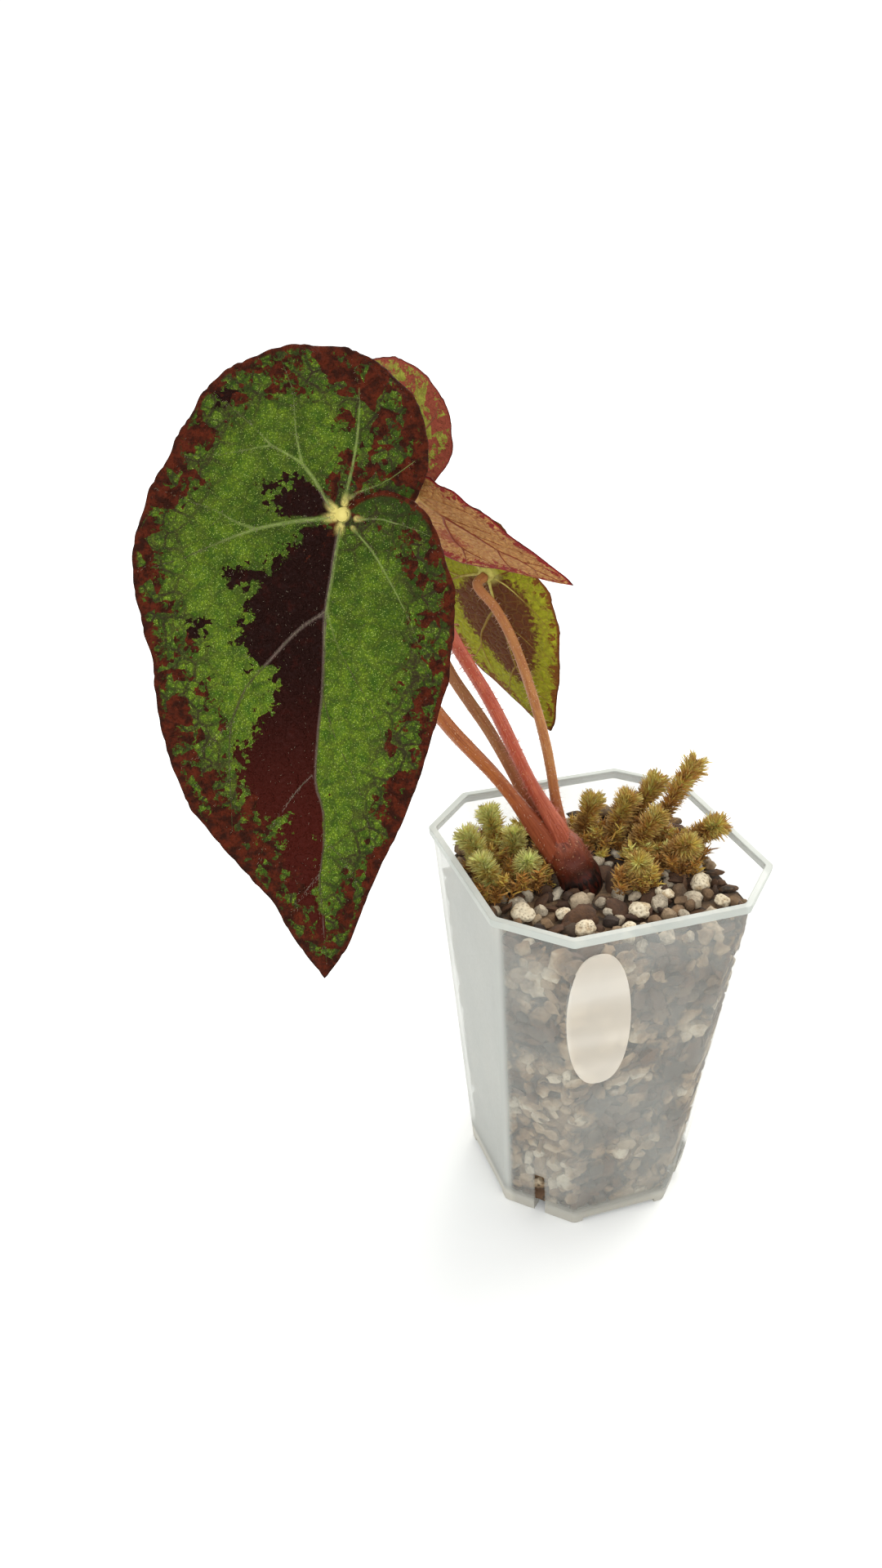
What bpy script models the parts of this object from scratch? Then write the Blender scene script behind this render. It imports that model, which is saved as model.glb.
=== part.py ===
"""Potted begonia in a clear square nursery pot, built at its real size.

The origin is the middle of the pot's underside, on the surface that it stands on.
+Z is up, and the pot's front face looks along -Y.
"""

import math
import random
from dataclasses import dataclass

import bmesh
import bpy
from mathutils import Matrix, Vector
from mathutils import noise

MM = 0.001
GAP = 0.3 * MM

# Pot: a square with cut corners, sizes across the flats
POT_HEIGHT = 103.0 * MM
RIM_WIDTH = 75.0 * MM
BASE_WIDTH = 56.0 * MM
CORNER_CUT = 14.5 * MM
CORNER_RADIUS = 2.2 * MM
WALL = 1.0 * MM
FLOOR = 2.6 * MM
LIP_HEIGHT = 2.6 * MM
LIP_REACH = 0.9 * MM
SLOT_WIDTH = 3.3 * MM
SLOT_HEIGHT = 15.0 * MM
SLOT_INTO_FLOOR = 7.0 * MM
ARCH_WIDTH = 22.0 * MM
ARCH_HEIGHT = 1.4 * MM
ARCH_DEPTH = 12.0 * MM
OVAL_WIDTH = 16.0 * MM
OVAL_HEIGHT = 43.0 * MM
OVAL_RAISED = 0.6 * MM
OVAL_POINTS = 28
OVAL_PLACE = (-12.0 * MM, 75.5 * MM)

# Soil: the level under the rim and the relief of its grit
SOIL_LEVEL = 92.5 * MM
SOIL_RELIEF = 1.6 * MM
SOIL_PITTING = 1.2 * MM
SOIL_GRIT = 6.0 * MM
SOIL_RINGS = 9
SOIL_TOP_SHARES = (0.86, 0.68, 0.5, 0.33)

# Crown: the stem from its buried foot to its top
CROWN_FOOT = Vector((0.5, 1.0, 79.0)) * MM
CROWN_TOP = Vector((-10.6, 5.0, 108.0)) * MM
CROWN_RADIUS = 5.5 * MM
CROWN_SIDES = 14
CROWN_HOLE_RADIUS = 7.2 * MM
CROWN_HOLE_SIDES = 12
CROWN_HOLE_DEPTH = 17.0 * MM
ROOTS = 6
ROOT_RADII = (1.3 * MM, 1.1 * MM, 0.8 * MM, 0.45 * MM)
ROOT_SIDES = 6

# Leaves: sizes of the largest one, which the others follow at their own length
BLADE_THICK = 0.7 * MM
HUB_RADIUS = 2.1 * MM
HUB_TOP = 1.1 * MM
HUB_UNDER = 1.8 * MM
HUB_SIDES = 12
RING_START = 1.4 * MM
MAIN_LENGTH = 84.5
SCALLOP_DEPTH = 0.4
RIB_RADIUS = 0.75 * MM
RIB_SIDES = 4
STALK_FIT = 0.35 * MM
STALK_RUN = 3.5 * MM
STALK_POINTS = 14
STALK_SIDES = 8

# Margin of the largest leaf: degrees from the tip round the stalk, and the reach there in millimetres
NEAR_MARGIN = ((0, 86.8), (3, 80), (7, 68.5), (15, 55.5), (25, 43.5), (38, 34), (56, 25.5),
               (75, 19), (100, 13.8), (120, 8.7), (137, 3.9), (144, 2.1))
FAR_MARGIN = ((0, 86.8), (4, 80.2), (9, 72.3), (16, 66.6), (28, 59.3), (36, 53.4), (53, 43.5),
              (72, 40.5), (95, 36.3), (108, 33.9), (135, 34.4), (160, 32.7), (182, 30.2),
              (207, 25.7), (227, 20.7), (247, 15.5), (264, 10.5), (280, 6), (296, 2.1))

# Ribs of the largest leaf: degrees from the tip and millimetres from the stalk, then thickness
RIBS = {
    "midrib": (((-12, 3), (-8, 17), (-4.5, 32), (-4, 45), (-1.4, 58), (-0.8, 72), (0, 80)), 1.0),
    "side": (((-8, 17), (-17, 22), (-24, 29), (-27, 37), (-26, 43), (-29, 51)), 0.8),
    "side_fork": (((-26, 43), (-22, 52), (-19, 58)), 0.55),
    "low_side": (((-4.3, 48), (-7, 52), (-10.5, 59)), 0.55),
    "cross": (((-75, 3), (-78, 9), (-78, 16), (-90, 24), (-94, 31)), 0.85),
    "cross_fork": (((-78, 16), (-74, 26), (-73, 35)), 0.6),
    "shoulder": (((-118, 3), (-138, 12), (-132, 19), (-131, 30)), 0.85),
    "shoulder_fork": (((-138, 12), (-151, 19), (-156, 29)), 0.6),
    "crest": (((-186, 3), (-188, 12), (-186, 24)), 0.75),
    "back_lobe": (((-205, 3.5), (-226, 9), (-229, 15)), 0.65),
    "front_lobe": (((80, 3), (84, 8), (79, 15)), 0.65),
    "near_side": (((39, 3), (41, 8), (37, 17), (30, 24)), 0.7),
}

COLOURS = {
    "pot": ((0.80, 0.83, 0.83), 0.45, 0.0),
    "soil": ((0.24, 0.19, 0.14), 0.95, 0.0),
    "pumice": ((0.78, 0.72, 0.62), 0.9, 0.0),
    "moss": ((0.28, 0.20, 0.06), 0.9, 0.0),
    "crown": ((0.36, 0.09, 0.06), 0.6, 0.0),
    "stalk": ((0.48, 0.20, 0.10), 0.6, 0.0),
    "leaf": ((0.10, 0.19, 0.05), 0.55, 0.0),
}


@dataclass(frozen=True)
class Leaf:
    """One leaf: where its stalk joins, where its tip is and which way its upper side looks."""

    name: str
    junction: tuple
    tip: tuple
    facing: tuple
    hand: int = 1
    near: float = 1.0
    far: float = 1.0
    cup: float = 3.0
    fold: float = 0.0
    curl: float = 2.0
    spokes: int = 92
    rings: int = 6
    ribs: tuple = tuple(RIBS)

    def frame(self):
        """The blade's own axes: across, along to the tip, out of the upper side."""
        start = Vector(self.junction) * MM
        along = (Vector(self.tip) * MM - start).normalized()
        out = Vector(self.facing)
        out = (out - along * out.dot(along)).normalized()
        across = out.cross(along) * self.hand
        return start, across, along, out

    def scale(self):
        """The blade's length against the largest leaf's."""
        return (Vector(self.tip) - Vector(self.junction)).length / MAIN_LENGTH


FEW_RIBS = ("midrib", "side", "cross", "shoulder", "crest", "near_side")

LEAVES = (
    Leaf("main", (-73.4, -33.9, 207.0), (-89.9, -70.6, 132.2), (-0.26, -0.84, 0.47), spokes=96, rings=5),
    Leaf("back", (-47.4, 23.4, 200.9), (-77.9, 42.3, 160.2), (0.73, 0.63, -0.25), hand=-1,
         near=1.22, far=1.1, cup=4.2, fold=0.11, curl=2.0, spokes=50, rings=4, ribs=FEW_RIBS),
    Leaf("side", (-53.4, -13.1, 203.9), (-19.6, -18.2, 182.1), (0.54, 0.43, 0.73), hand=-1,
         near=0.91, far=1.24, cup=4.1, fold=0.06, curl=-1.7, spokes=50, rings=4, ribs=FEW_RIBS),
    Leaf("rear", (-26.4, 13.3, 175.7), (-7.9, 17.5, 128.5), (0.72, 0.61, 0.34), hand=-1,
         near=1.05, far=0.95, cup=0.3, fold=0.14, curl=-1.2, spokes=50, rings=4, ribs=FEW_RIBS),
)

# Stalks: radii at the foot and at the leaf, and the route between them in millimetres
STALKS = {
    "main": ((1.75, 1.4), ((-14.2, 2.6, 106.5), (-27.3, -0.6, 126.2), (-45.3, -8.1, 149.7),
                           (-60.3, -17.8, 174.6), (-69.5, -25.0, 194.5))),
    "back": ((1.6, 1.25), ((-11.8, 7.6, 105.0), (-25.8, 8.7, 133.7), (-37.8, 8.4, 153.7),
                           (-44.9, 10.2, 171.8), (-49.8, 12.7, 188.1))),
    "side": ((1.75, 1.35), ((-9.6, 2.6, 106.5), (-18.6, 2.0, 123.8), (-30.6, -1.9, 148.3),
                            (-42.4, -8.1, 168.3), (-51.2, -14.2, 186.3))),
    "rear": ((1.4, 1.1), ((-7.4, 7.6, 106.5), (-12.0, 8.2, 130.6), (-19.2, 7.4, 152.9), (-25.2, 7.4, 166.3))),
}

# Moss: foot on the soil, lean of the tip from the foot, length and head radius, all in millimetres
MOSS = (
    ((-26.5, 11.0), (-4.0, 3.0), 12.0, 3.6),
    ((-27.5, 2.5), (-3.0, 1.0), 9.5, 3.4),
    ((-20.5, 18.5), (-1.5, 3.0), 13.0, 3.4),
    ((-19.0, 4.5), (0.5, -3.0), 9.0, 3.2),
    ((-19.0, 11.5), (1.0, 1.0), 10.0, 3.2),
    ((4.0, 17.0), (3.5, 2.0), 13.0, 3.6),
    ((11.5, 14.0), (4.5, 0.5), 14.5, 3.6),
    ((19.0, 18.0), (7.0, 0.0), 17.0, 3.8),
    ((21.5, 9.0), (14.0, 3.0), 26.5, 3.8),
    ((27.5, 3.0), (4.5, -8.5), 16.5, 3.6),
    ((13.0, 5.0), (6.5, -0.5), 14.5, 3.6),
    ((20.5, 0.0), (3.0, -7.0), 12.5, 3.4),
    ((10.0, -4.5), (-2.0, -4.0), 9.5, 3.4),
    ((-6.5, 22.5), (-1.0, 3.5), 13.0, 3.4),
)
MOSS_STEM_RADIUS = 0.95 * MM
MOSS_DEPTH = 5.0 * MM
MOSS_HOLE_RADIUS = 1.85 * MM
MOSS_HOLE_RISE = 4.3 * MM
MOSS_SIDES = 6
MOSS_WHORLS = 9
MOSS_LEAF_LENGTH = 2.7 * MM

# Pumice: places on the soil and radii in millimetres
PUMICE = (
    ((-24.0, -9.5), 3.2),
    ((-12.0, -20.5), 2.9),
    ((4.5, -17.5), 2.8),
    ((13.5, -13.5), 2.4),
    ((25.0, -11.5), 3.2),
    ((26.5, -20.5), 2.2),
    ((-14.5, -13.0), 2.2),
    ((-2.0, -25.0), 2.2),
    ((28.0, 23.0), 2.6),
    ((-13.0, 27.5), 2.4),
)


def clear_scene():
    """Empty the scene that the script starts in."""
    for thing in list(bpy.data.objects):
        bpy.data.objects.remove(thing, do_unlink=True)


def finish_material(name):
    """The Principled material of one kind of piece."""
    found = bpy.data.materials.get(name)
    if found:
        return found
    colour, roughness, metallic = COLOURS[name]
    made = bpy.data.materials.new(name)
    made.use_nodes = True
    shader = made.node_tree.nodes["Principled BSDF"]
    shader.inputs["Base Color"].default_value = (*colour, 1.0)
    shader.inputs["Roughness"].default_value = roughness
    shader.inputs["Metallic"].default_value = metallic
    return made


def add_object(name, bm, finish, smooth=True, turn_out=True):
    """Turn a bmesh into a named object with its faces pointing out."""
    if turn_out:
        bmesh.ops.recalc_face_normals(bm, faces=bm.faces)
    mesh = bpy.data.meshes.new(name)
    bm.to_mesh(mesh)
    bm.free()
    thing = bpy.data.objects.new(name, mesh)
    bpy.context.scene.collection.objects.link(thing)
    mesh.materials.append(finish_material(finish))
    if smooth:
        mesh.shade_smooth()
        mesh.set_sharp_from_angle(angle=math.radians(40))
    return thing


def apply_modifiers(thing):
    """Keep a piece's evaluated mesh as its own mesh."""
    graph = bpy.context.evaluated_depsgraph_get()
    mesh = bpy.data.meshes.new_from_object(thing.evaluated_get(graph))
    thing.modifiers.clear()
    thing.data = mesh


def combine(thing, tools, operation, solver="EXACT"):
    """Join tools to a piece, or cut them from it, and remove them."""
    group = bpy.data.collections.new(thing.name + "_tools")
    bpy.context.scene.collection.children.link(group)
    for tool in tools:
        bpy.context.scene.collection.objects.unlink(tool)
        group.objects.link(tool)
    step = thing.modifiers.new("combine", "BOOLEAN")
    step.operation = operation
    step.operand_type = "COLLECTION"
    step.collection = group
    step.solver = solver
    apply_modifiers(thing)
    for tool in tools:
        bpy.data.objects.remove(tool, do_unlink=True)
    bpy.data.collections.remove(group)


def loft(rings):
    """Skin a list of equal rings of points, with a cap at each end."""
    bm = bmesh.new()
    rows = [[bm.verts.new(point) for point in ring] for ring in rings]
    count = len(rows[0])
    for low, high in zip(rows, rows[1:]):
        for i in range(count):
            j = (i + 1) % count
            bm.faces.new((low[i], low[j], high[j], high[i]))
    bm.faces.new(rows[0][::-1])
    bm.faces.new(rows[-1])
    return bm


def box(low, high):
    """A box between two corners, as a bmesh."""
    bm = bmesh.new()
    bmesh.ops.create_cube(bm, size=1.0)
    low = Vector(low)
    high = Vector(high)
    bmesh.ops.scale(bm, vec=high - low, verts=bm.verts)
    bmesh.ops.translate(bm, vec=(low + high) / 2, verts=bm.verts)
    return bm


def knots(table, at):
    """Read a value between the knots of a table with a smooth, monotone curve."""
    slopes = [(b[1] - a[1]) / (b[0] - a[0]) for a, b in zip(table, table[1:])]
    for i, (a, b) in enumerate(zip(table, table[1:])):
        if at <= b[0] or i == len(slopes) - 1:
            break
    before = slopes[i - 1] if i else slopes[0]
    after = slopes[i + 1] if i + 1 < len(slopes) else slopes[-1]
    start = 0.0 if before * slopes[i] <= 0 else 2 * before * slopes[i] / (before + slopes[i])
    end = 0.0 if after * slopes[i] <= 0 else 2 * after * slopes[i] / (after + slopes[i])
    span = b[0] - a[0]
    t = min(max((at - a[0]) / span, 0.0), 1.0)
    return ((2 * t**3 - 3 * t**2 + 1) * a[1] + (t**3 - 2 * t**2 + t) * span * start
            + (3 * t**2 - 2 * t**3) * b[1] + (t**3 - t**2) * span * end)


def ease(low, high, value):
    """A smooth step from 0 at low to 1 at high."""
    t = min(max((value - low) / (high - low), 0.0), 1.0)
    return t * t * (3 - 2 * t)


def curve_through(points, count):
    """Even points on a smooth curve through a route's own points."""
    ends = [points[0] * 2 - points[1], *points, points[-1] * 2 - points[-2]]
    fine = []
    for a, b, c, d in zip(ends, ends[1:], ends[2:], ends[3:]):
        for step in range(16):
            t = step / 16
            fine.append(0.5 * (2 * b + (c - a) * t + (2 * a - 5 * b + 4 * c - d) * t**2
                               + (3 * b - a - 3 * c + d) * t**3))
    fine.append(points[-1].copy())
    lengths = [0.0]
    for a, b in zip(fine, fine[1:]):
        lengths.append(lengths[-1] + (b - a).length)
    picked = []
    at = 0
    for i in range(count):
        want = lengths[-1] * i / (count - 1)
        while at < len(lengths) - 2 and lengths[at + 1] < want:
            at += 1
        t = (want - lengths[at]) / (lengths[at + 1] - lengths[at])
        picked.append(fine[at].lerp(fine[at + 1], t))
    return picked


def tube(points, radii, sides):
    """A closed tube along points, with a radius at each."""
    rings = []
    up = Vector((0, 0, 1)) if abs((points[1] - points[0]).normalized().z) < 0.9 else Vector((1, 0, 0))
    for i, (point, radius) in enumerate(zip(points, radii)):
        ahead = (points[min(i + 1, len(points) - 1)] - points[max(i - 1, 0)]).normalized()
        side = ahead.cross(up).normalized()
        up = side.cross(ahead).normalized()
        ring = []
        for k in range(sides):
            angle = math.tau * k / sides
            ring.append(point + (side * math.cos(angle) + up * math.sin(angle)) * radius)
        rings.append(ring)
    return loft(rings)


def pot_half(z):
    """Half the pot's outer width across the flats at a height."""
    return (BASE_WIDTH + (RIM_WIDTH - BASE_WIDTH) * z / POT_HEIGHT) / 2


def cut_square(half, cut, z, radius=CORNER_RADIUS, steps=2):
    """A square with cut corners and rounded vertical edges, as points round Z at a height."""
    corners = []
    for quarter in range(4):
        turn = Matrix.Rotation(math.pi / 2 * quarter, 2)
        corners.append(turn @ Vector((half, half - cut)))
        corners.append(turn @ Vector((half - cut, half)))
    points = []
    for i, corner in enumerate(corners):
        into = (corner - corners[i - 1]).normalized()
        away = (corners[(i + 1) % 8] - corner).normalized()
        bend = math.pi / 4
        inward = (away - into).normalized()
        centre = corner + inward * radius / math.cos(bend / 2)
        start = math.atan2(-inward.y, -inward.x) - bend / 2
        for step in range(steps + 1):
            angle = start + bend * step / steps
            x = centre.x + radius * math.cos(angle)
            points.append(Vector((x, centre.y + radius * math.sin(angle), z)))
    return points


def wall_ring(inset, z):
    """The pot's outline at a height, moved in by an inset, or out where it is below zero."""
    return cut_square(pot_half(z) - inset, CORNER_CUT - inset * (2 - math.sqrt(2)), z)


def make_pot():
    """The pot with its lip, drain slots, foot arches and raised oval."""
    under_lip = POT_HEIGHT - LIP_HEIGHT
    shell = add_object("pot", loft([
        wall_ring(0, 0),
        wall_ring(0, under_lip),
        wall_ring(-LIP_REACH, under_lip + 0.4 * MM),
        wall_ring(-LIP_REACH, POT_HEIGHT - 0.5 * MM),
        wall_ring(-LIP_REACH + 0.5 * MM, POT_HEIGHT),
        wall_ring(WALL * 0.7, POT_HEIGHT),
        wall_ring(WALL, POT_HEIGHT - 0.6 * MM),
        wall_ring(WALL, FLOOR),
    ]), "pot")
    tools = []
    for quarter in range(4):
        tools.append(slot_tool(math.pi / 4 + math.pi / 2 * quarter))
        tools.append(arch_tool(math.pi / 2 * quarter))
    combine(shell, tools, "DIFFERENCE")
    combine(shell, [oval_tool()], "UNION")
    return shell


def slot_tool(angle):
    """A drain slot's cutter, through a cut corner and on into the floor."""
    reach = (pot_half(0) * 2 - CORNER_CUT) / math.sqrt(2)
    low = (reach - SLOT_INTO_FLOOR, -SLOT_WIDTH / 2, -2 * MM)
    bm = box(low, (reach + 9 * MM, SLOT_WIDTH / 2, SLOT_HEIGHT))
    bmesh.ops.rotate(bm, cent=(0, 0, 0), matrix=Matrix.Rotation(angle, 3, "Z"), verts=bm.verts)
    return add_object("slot_tool", bm, "pot", smooth=False)


def arch_tool(angle):
    """A foot arch's cutter, under the middle of a long side."""
    reach = BASE_WIDTH / 2
    bm = box((reach - ARCH_DEPTH, -ARCH_WIDTH / 2, -2 * MM), (reach + 3 * MM, ARCH_WIDTH / 2, ARCH_HEIGHT))
    bmesh.ops.rotate(bm, cent=(0, 0, 0), matrix=Matrix.Rotation(angle, 3, "Z"), verts=bm.verts)
    return add_object("arch_tool", bm, "pot", smooth=False)


def oval_tool():
    """The raised oval on the front face, widest high up, with its narrow end down."""
    slope = (RIM_WIDTH - BASE_WIDTH) / 2 / POT_HEIGHT
    outward = Vector((0, -1, -slope)).normalized()
    rings = []
    for lift, grow in ((-0.5 * MM, 1.0), (OVAL_RAISED * 0.6, 1.0), (OVAL_RAISED, 0.93)):
        ring = []
        for k in range(OVAL_POINTS):
            angle = math.tau * k / OVAL_POINTS
            high = math.sin(angle) * OVAL_HEIGHT / 2
            wide = math.cos(angle) * OVAL_WIDTH / 2 * (1 + 0.16 * math.sin(angle))
            z = OVAL_PLACE[1] + high * grow
            ring.append(Vector((OVAL_PLACE[0] + wide * grow, -pot_half(z), z)) + outward * lift)
        rings.append(ring)
    return add_object("oval_tool", loft(rings), "pot", smooth=False)


def soil_height(x, y):
    """The height of the soil's gritty top at a place."""
    grit = noise.noise(Vector((x, y, 0.0)) / SOIL_GRIT)
    fine = noise.noise(Vector((x, y, 0.05)) / (SOIL_GRIT * 0.45))
    return SOIL_LEVEL + SOIL_RELIEF * (grit + 0.4 * fine)


def make_soil(sockets):
    """The filling of grit and bark, with plain holes for all that stands in it."""
    rings = []
    floor = FLOOR + GAP
    levels = [floor + (SOIL_LEVEL - 2.5 * MM - floor) * i / SOIL_RINGS for i in range(SOIL_RINGS + 1)]
    for level in levels:
        ring = []
        for point in soil_outline(level):
            pit = 0.5 + 0.5 * noise.noise(point / SOIL_GRIT * 0.8)
            ring.append(point - Vector((point.x, point.y, 0)).normalized() * SOIL_PITTING * pit)
        rings.append(ring)
    for share in SOIL_TOP_SHARES:
        ring = []
        for point in soil_outline(SOIL_LEVEL - 2 * MM):
            x = point.x * share
            y = point.y * share
            ring.append(Vector((x, y, soil_height(x, y))))
        rings.append(ring)
    bm = loft(rings)
    bmesh.ops.poke(bm, faces=[face for face in bm.faces if len(face.verts) > 4])
    bmesh.ops.triangulate(bm, faces=bm.faces)
    soil = add_object("soil", bm, "soil")
    combine(soil, sockets, "DIFFERENCE", "MANIFOLD")
    return soil


def soil_outline(z):
    """The soil's outline at a height, clear of the pot's wall, with points along each side."""
    ring = wall_ring(WALL + GAP, z)
    corners = [(ring[i * 3 + 1]) for i in range(8)]
    points = []
    for i, corner in enumerate(corners):
        following = corners[(i + 1) % 8]
        pieces = 5 if i % 2 else 2
        for step in range(pieces):
            points.append(corner.lerp(following, step / pieces) * 0.995)
    for point in points:
        point.z = z
    return points


def crown_route():
    """The crown's middle line from its buried foot to its top."""
    bend = CROWN_FOOT.lerp(CROWN_TOP, 0.5) + Vector((2.2, -1.2, 0.0)) * MM
    return curve_through([CROWN_FOOT, bend, CROWN_TOP], 9)


def make_crown(stalk_tools):
    """The short red stem with its roots, and a plain hole for each stalk's foot."""
    route = crown_route()
    radii = []
    for i in range(len(route)):
        along = i / (len(route) - 1)
        swell = 1 + 0.07 * math.sin(along * 17)
        radii.append(CROWN_RADIUS * swell * (0.72 + 0.36 * ease(0, 0.45, along) - 0.13 * ease(0.8, 1, along)))
    crown = add_object("crown", tube(route, radii, CROWN_SIDES), "crown")
    roots = []
    draw = random.Random(5)
    for i in range(ROOTS):
        angle = math.tau * i / ROOTS + draw.uniform(-0.3, 0.3)
        out = Vector((math.cos(angle), math.sin(angle), 0))
        start = route[1] + out * CROWN_RADIUS * 0.35
        end = CROWN_FOOT + out * 4.0 * MM + Vector((0, 0, -1)) * draw.uniform(0.6, 1.6) * MM
        points = curve_through([start, start.lerp(end, 0.5) + out * 1.2 * MM, end], len(ROOT_RADII))
        roots.append(add_object("root_tool", tube(points, ROOT_RADII, ROOT_SIDES), "crown"))
    combine(crown, roots, "UNION")
    combine(crown, stalk_tools, "DIFFERENCE")
    return crown


def crown_socket():
    """The plain hole in the soil that the crown stands in."""
    top = CROWN_FOOT.lerp(CROWN_TOP, 0.78)
    foot = Vector((0.6 * MM, 0.3 * MM, SOIL_LEVEL - CROWN_HOLE_DEPTH))
    middle = Vector((0.0, 1.0 * MM, SOIL_LEVEL - 4 * MM))
    radii = [CROWN_HOLE_RADIUS, CROWN_HOLE_RADIUS, CROWN_HOLE_RADIUS * 1.05]
    return add_object("crown_hole", tube([foot, middle, top], radii, CROWN_HOLE_SIDES), "soil")


def margin(angle):
    """The largest leaf's reach in millimetres, at degrees from its tip."""
    return knots(NEAR_MARGIN, angle) if angle >= 0 else knots(FAR_MARGIN, -angle)


def spoke_angles(count):
    """Angles from the far lobe round to the near one, evenly spaced along the margin."""
    first = -FAR_MARGIN[-1][0]
    last = NEAR_MARGIN[-1][0]
    fine = [first + (last - first) * i / 2000 for i in range(2001)]
    run = [0.0]
    for a, b in zip(fine, fine[1:]):
        near = margin(a)
        far = margin(b)
        step = math.hypot(far - near, math.radians(b - a) * (near + far) / 2)
        run.append(run[-1] + step + 0.02)
    picked = []
    at = 0
    for i in range(count):
        want = run[-1] * i / (count - 1)
        while at < len(run) - 2 and run[at + 1] < want:
            at += 1
        picked.append(fine[at] + (fine[at + 1] - fine[at]) * (want - run[at]) / (run[at + 1] - run[at]))
    return picked


def lobe_lift(angle, reach):
    """How far the near lobe stands over the far one, in millimetres, so that the two pass."""
    spread = 0.65 + 1.15 * ease(2, 16, reach)
    return spread * (ease(20, 110, angle) - ease(-170, -250, angle))


def blade_height(leaf, angle, reach, share):
    """The blade's height over its plane in millimetres, at an angle and a reach, or share of it."""
    x = reach * math.sin(math.radians(angle))
    x *= leaf.near if x > 0 else leaf.far
    y = reach * math.cos(math.radians(angle))
    dome = -leaf.cup * (x * x + 0.25 * y * y) / 40**2
    bend = -leaf.curl * (max(y, 0) / MAIN_LENGTH)**3 * 3
    valley = leaf.fold * (math.hypot(x, 3.0) - 3.0)
    ripple = 0.55 * share**3 * math.sin(math.radians(angle) * 13)
    return lobe_lift(angle, reach) + dome + bend + valley + ripple


def blade_point(leaf, angle, reach, share, drop):
    """A point of the blade in the world, dropped below its upper face."""
    start, across, along, out = leaf.frame()
    size = leaf.scale() * MM
    x = reach * math.sin(math.radians(angle))
    x *= leaf.near if x > 0 else leaf.far
    y = reach * math.cos(math.radians(angle))
    lift = lobe_lift(angle, reach)
    height = (blade_height(leaf, angle, reach, share) - lift) * size + lift * MM
    return start + across * x * size + along * y * size + out * (height - drop)


def make_blade(leaf):
    """The blade's thin, waved sheet, split alike on both faces."""
    bm = bmesh.new()
    angles = spoke_angles(leaf.spokes)
    size = leaf.scale()
    start = RING_START / MM / size
    rows = []
    for i, angle in enumerate(angles):
        tooth = SCALLOP_DEPTH * (1 if i % 2 else -1) * ease(0, 9, min(i, len(angles) - 1 - i))
        edge = max(margin(angle) + tooth, start + 0.4 / size)
        row = []
        for k in range(leaf.rings + 1):
            share = k / leaf.rings
            reach = start + (edge - start) * share**0.9
            upper = bm.verts.new(blade_point(leaf, angle, reach, share, -BLADE_THICK / 2))
            lower = bm.verts.new(blade_point(leaf, angle, reach, share, BLADE_THICK / 2))
            row.append((upper, lower))
        rows.append(row)
    for i in range(len(rows) - 1):
        for k in range(leaf.rings):
            flip = (i + k) % 2
            for side in (0, 1):
                a = rows[i][k][side]
                b = rows[i + 1][k][side]
                c = rows[i + 1][k + 1][side]
                d = rows[i][k + 1][side]
                halves = ((a, b, c), (a, c, d)) if flip else ((a, b, d), (b, c, d))
                for half in halves:
                    bm.faces.new(half if side else half[::-1])
        for k in (0, leaf.rings):
            bm.faces.new((rows[i][k][0], rows[i + 1][k][0], rows[i + 1][k][1], rows[i][k][1]))
    for row in (rows[0], rows[-1]):
        for inner, outer in zip(row, row[1:]):
            bm.faces.new((inner[0], outer[0], outer[1], inner[1]))
    return add_object("leaf_" + leaf.name, bm, "leaf")


def make_hub(leaf):
    """The thick middle of a blade, where its stalk joins."""
    start, across, along, out = leaf.frame()
    rings = []
    for height, radius in ((-HUB_UNDER, 0.75), (-HUB_UNDER * 0.4, 1.0), (HUB_TOP * 0.6, 1.0), (HUB_TOP, 0.6)):
        ring = []
        for k in range(HUB_SIDES):
            angle = math.tau * k / HUB_SIDES
            flat = across * math.cos(angle) + along * math.sin(angle)
            ring.append(start + flat * HUB_RADIUS * radius + out * height)
        rings.append(ring)
    return add_object("hub_tool", loft(rings), "leaf")


def make_rib(leaf, name):
    """One raised rib, half sunk in the blade's underside."""
    route, thickness = RIBS[name]
    points = []
    radii = []
    flat = [Vector((angle, reach, 0)) for angle, reach in route]
    count = len(route) + 2 if leaf.spokes > 80 else len(route)
    for i, place in enumerate(curve_through(flat, count)):
        share = place.y / max(margin(place.x), 1.0)
        points.append(blade_point(leaf, place.x, place.y, share, BLADE_THICK / 2))
        radii.append(RIB_RADIUS * thickness * (1 - 0.45 * i / (count - 1)))
    return add_object("rib_tool", tube(points, radii, RIB_SIDES), "leaf")


def make_leaf(leaf):
    """A leaf: its blade, thick middle and ribs in one body."""
    blade = make_blade(leaf)
    tools = [make_hub(leaf)]
    for name in leaf.ribs:
        tools.append(make_rib(leaf, name))
    combine(blade, tools, "UNION")
    return blade


def stalk_route(leaf):
    """A stalk's middle line, which ends square under its leaf's middle."""
    start, across, along, out = leaf.frame()
    route = [Vector(point) * MM for point in STALKS[leaf.name][1]]
    seat = start - out * (HUB_UNDER + GAP)
    return [*curve_through([*route, seat - out * STALK_RUN], STALK_POINTS - 1), seat]


def make_stalk(leaf, wider=0.0, share=1.0, name=None):
    """A leaf stalk, or a wider copy of its foot to cut its hole with."""
    foot, neck = STALKS[leaf.name][0]
    count = STALK_POINTS
    points = stalk_route(leaf)
    radii = [(foot + (neck - foot) * i / (count - 1)) * MM + wider for i in range(count)]
    keep = max(int(count * share), 2)
    points = points[:keep]
    radii = radii[:keep]
    back = (points[0] - points[1]).normalized() * wider
    points[0] = points[0] + back
    return add_object(name or "stalk_" + leaf.name, tube(points, radii, STALK_SIDES), "stalk")


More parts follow.
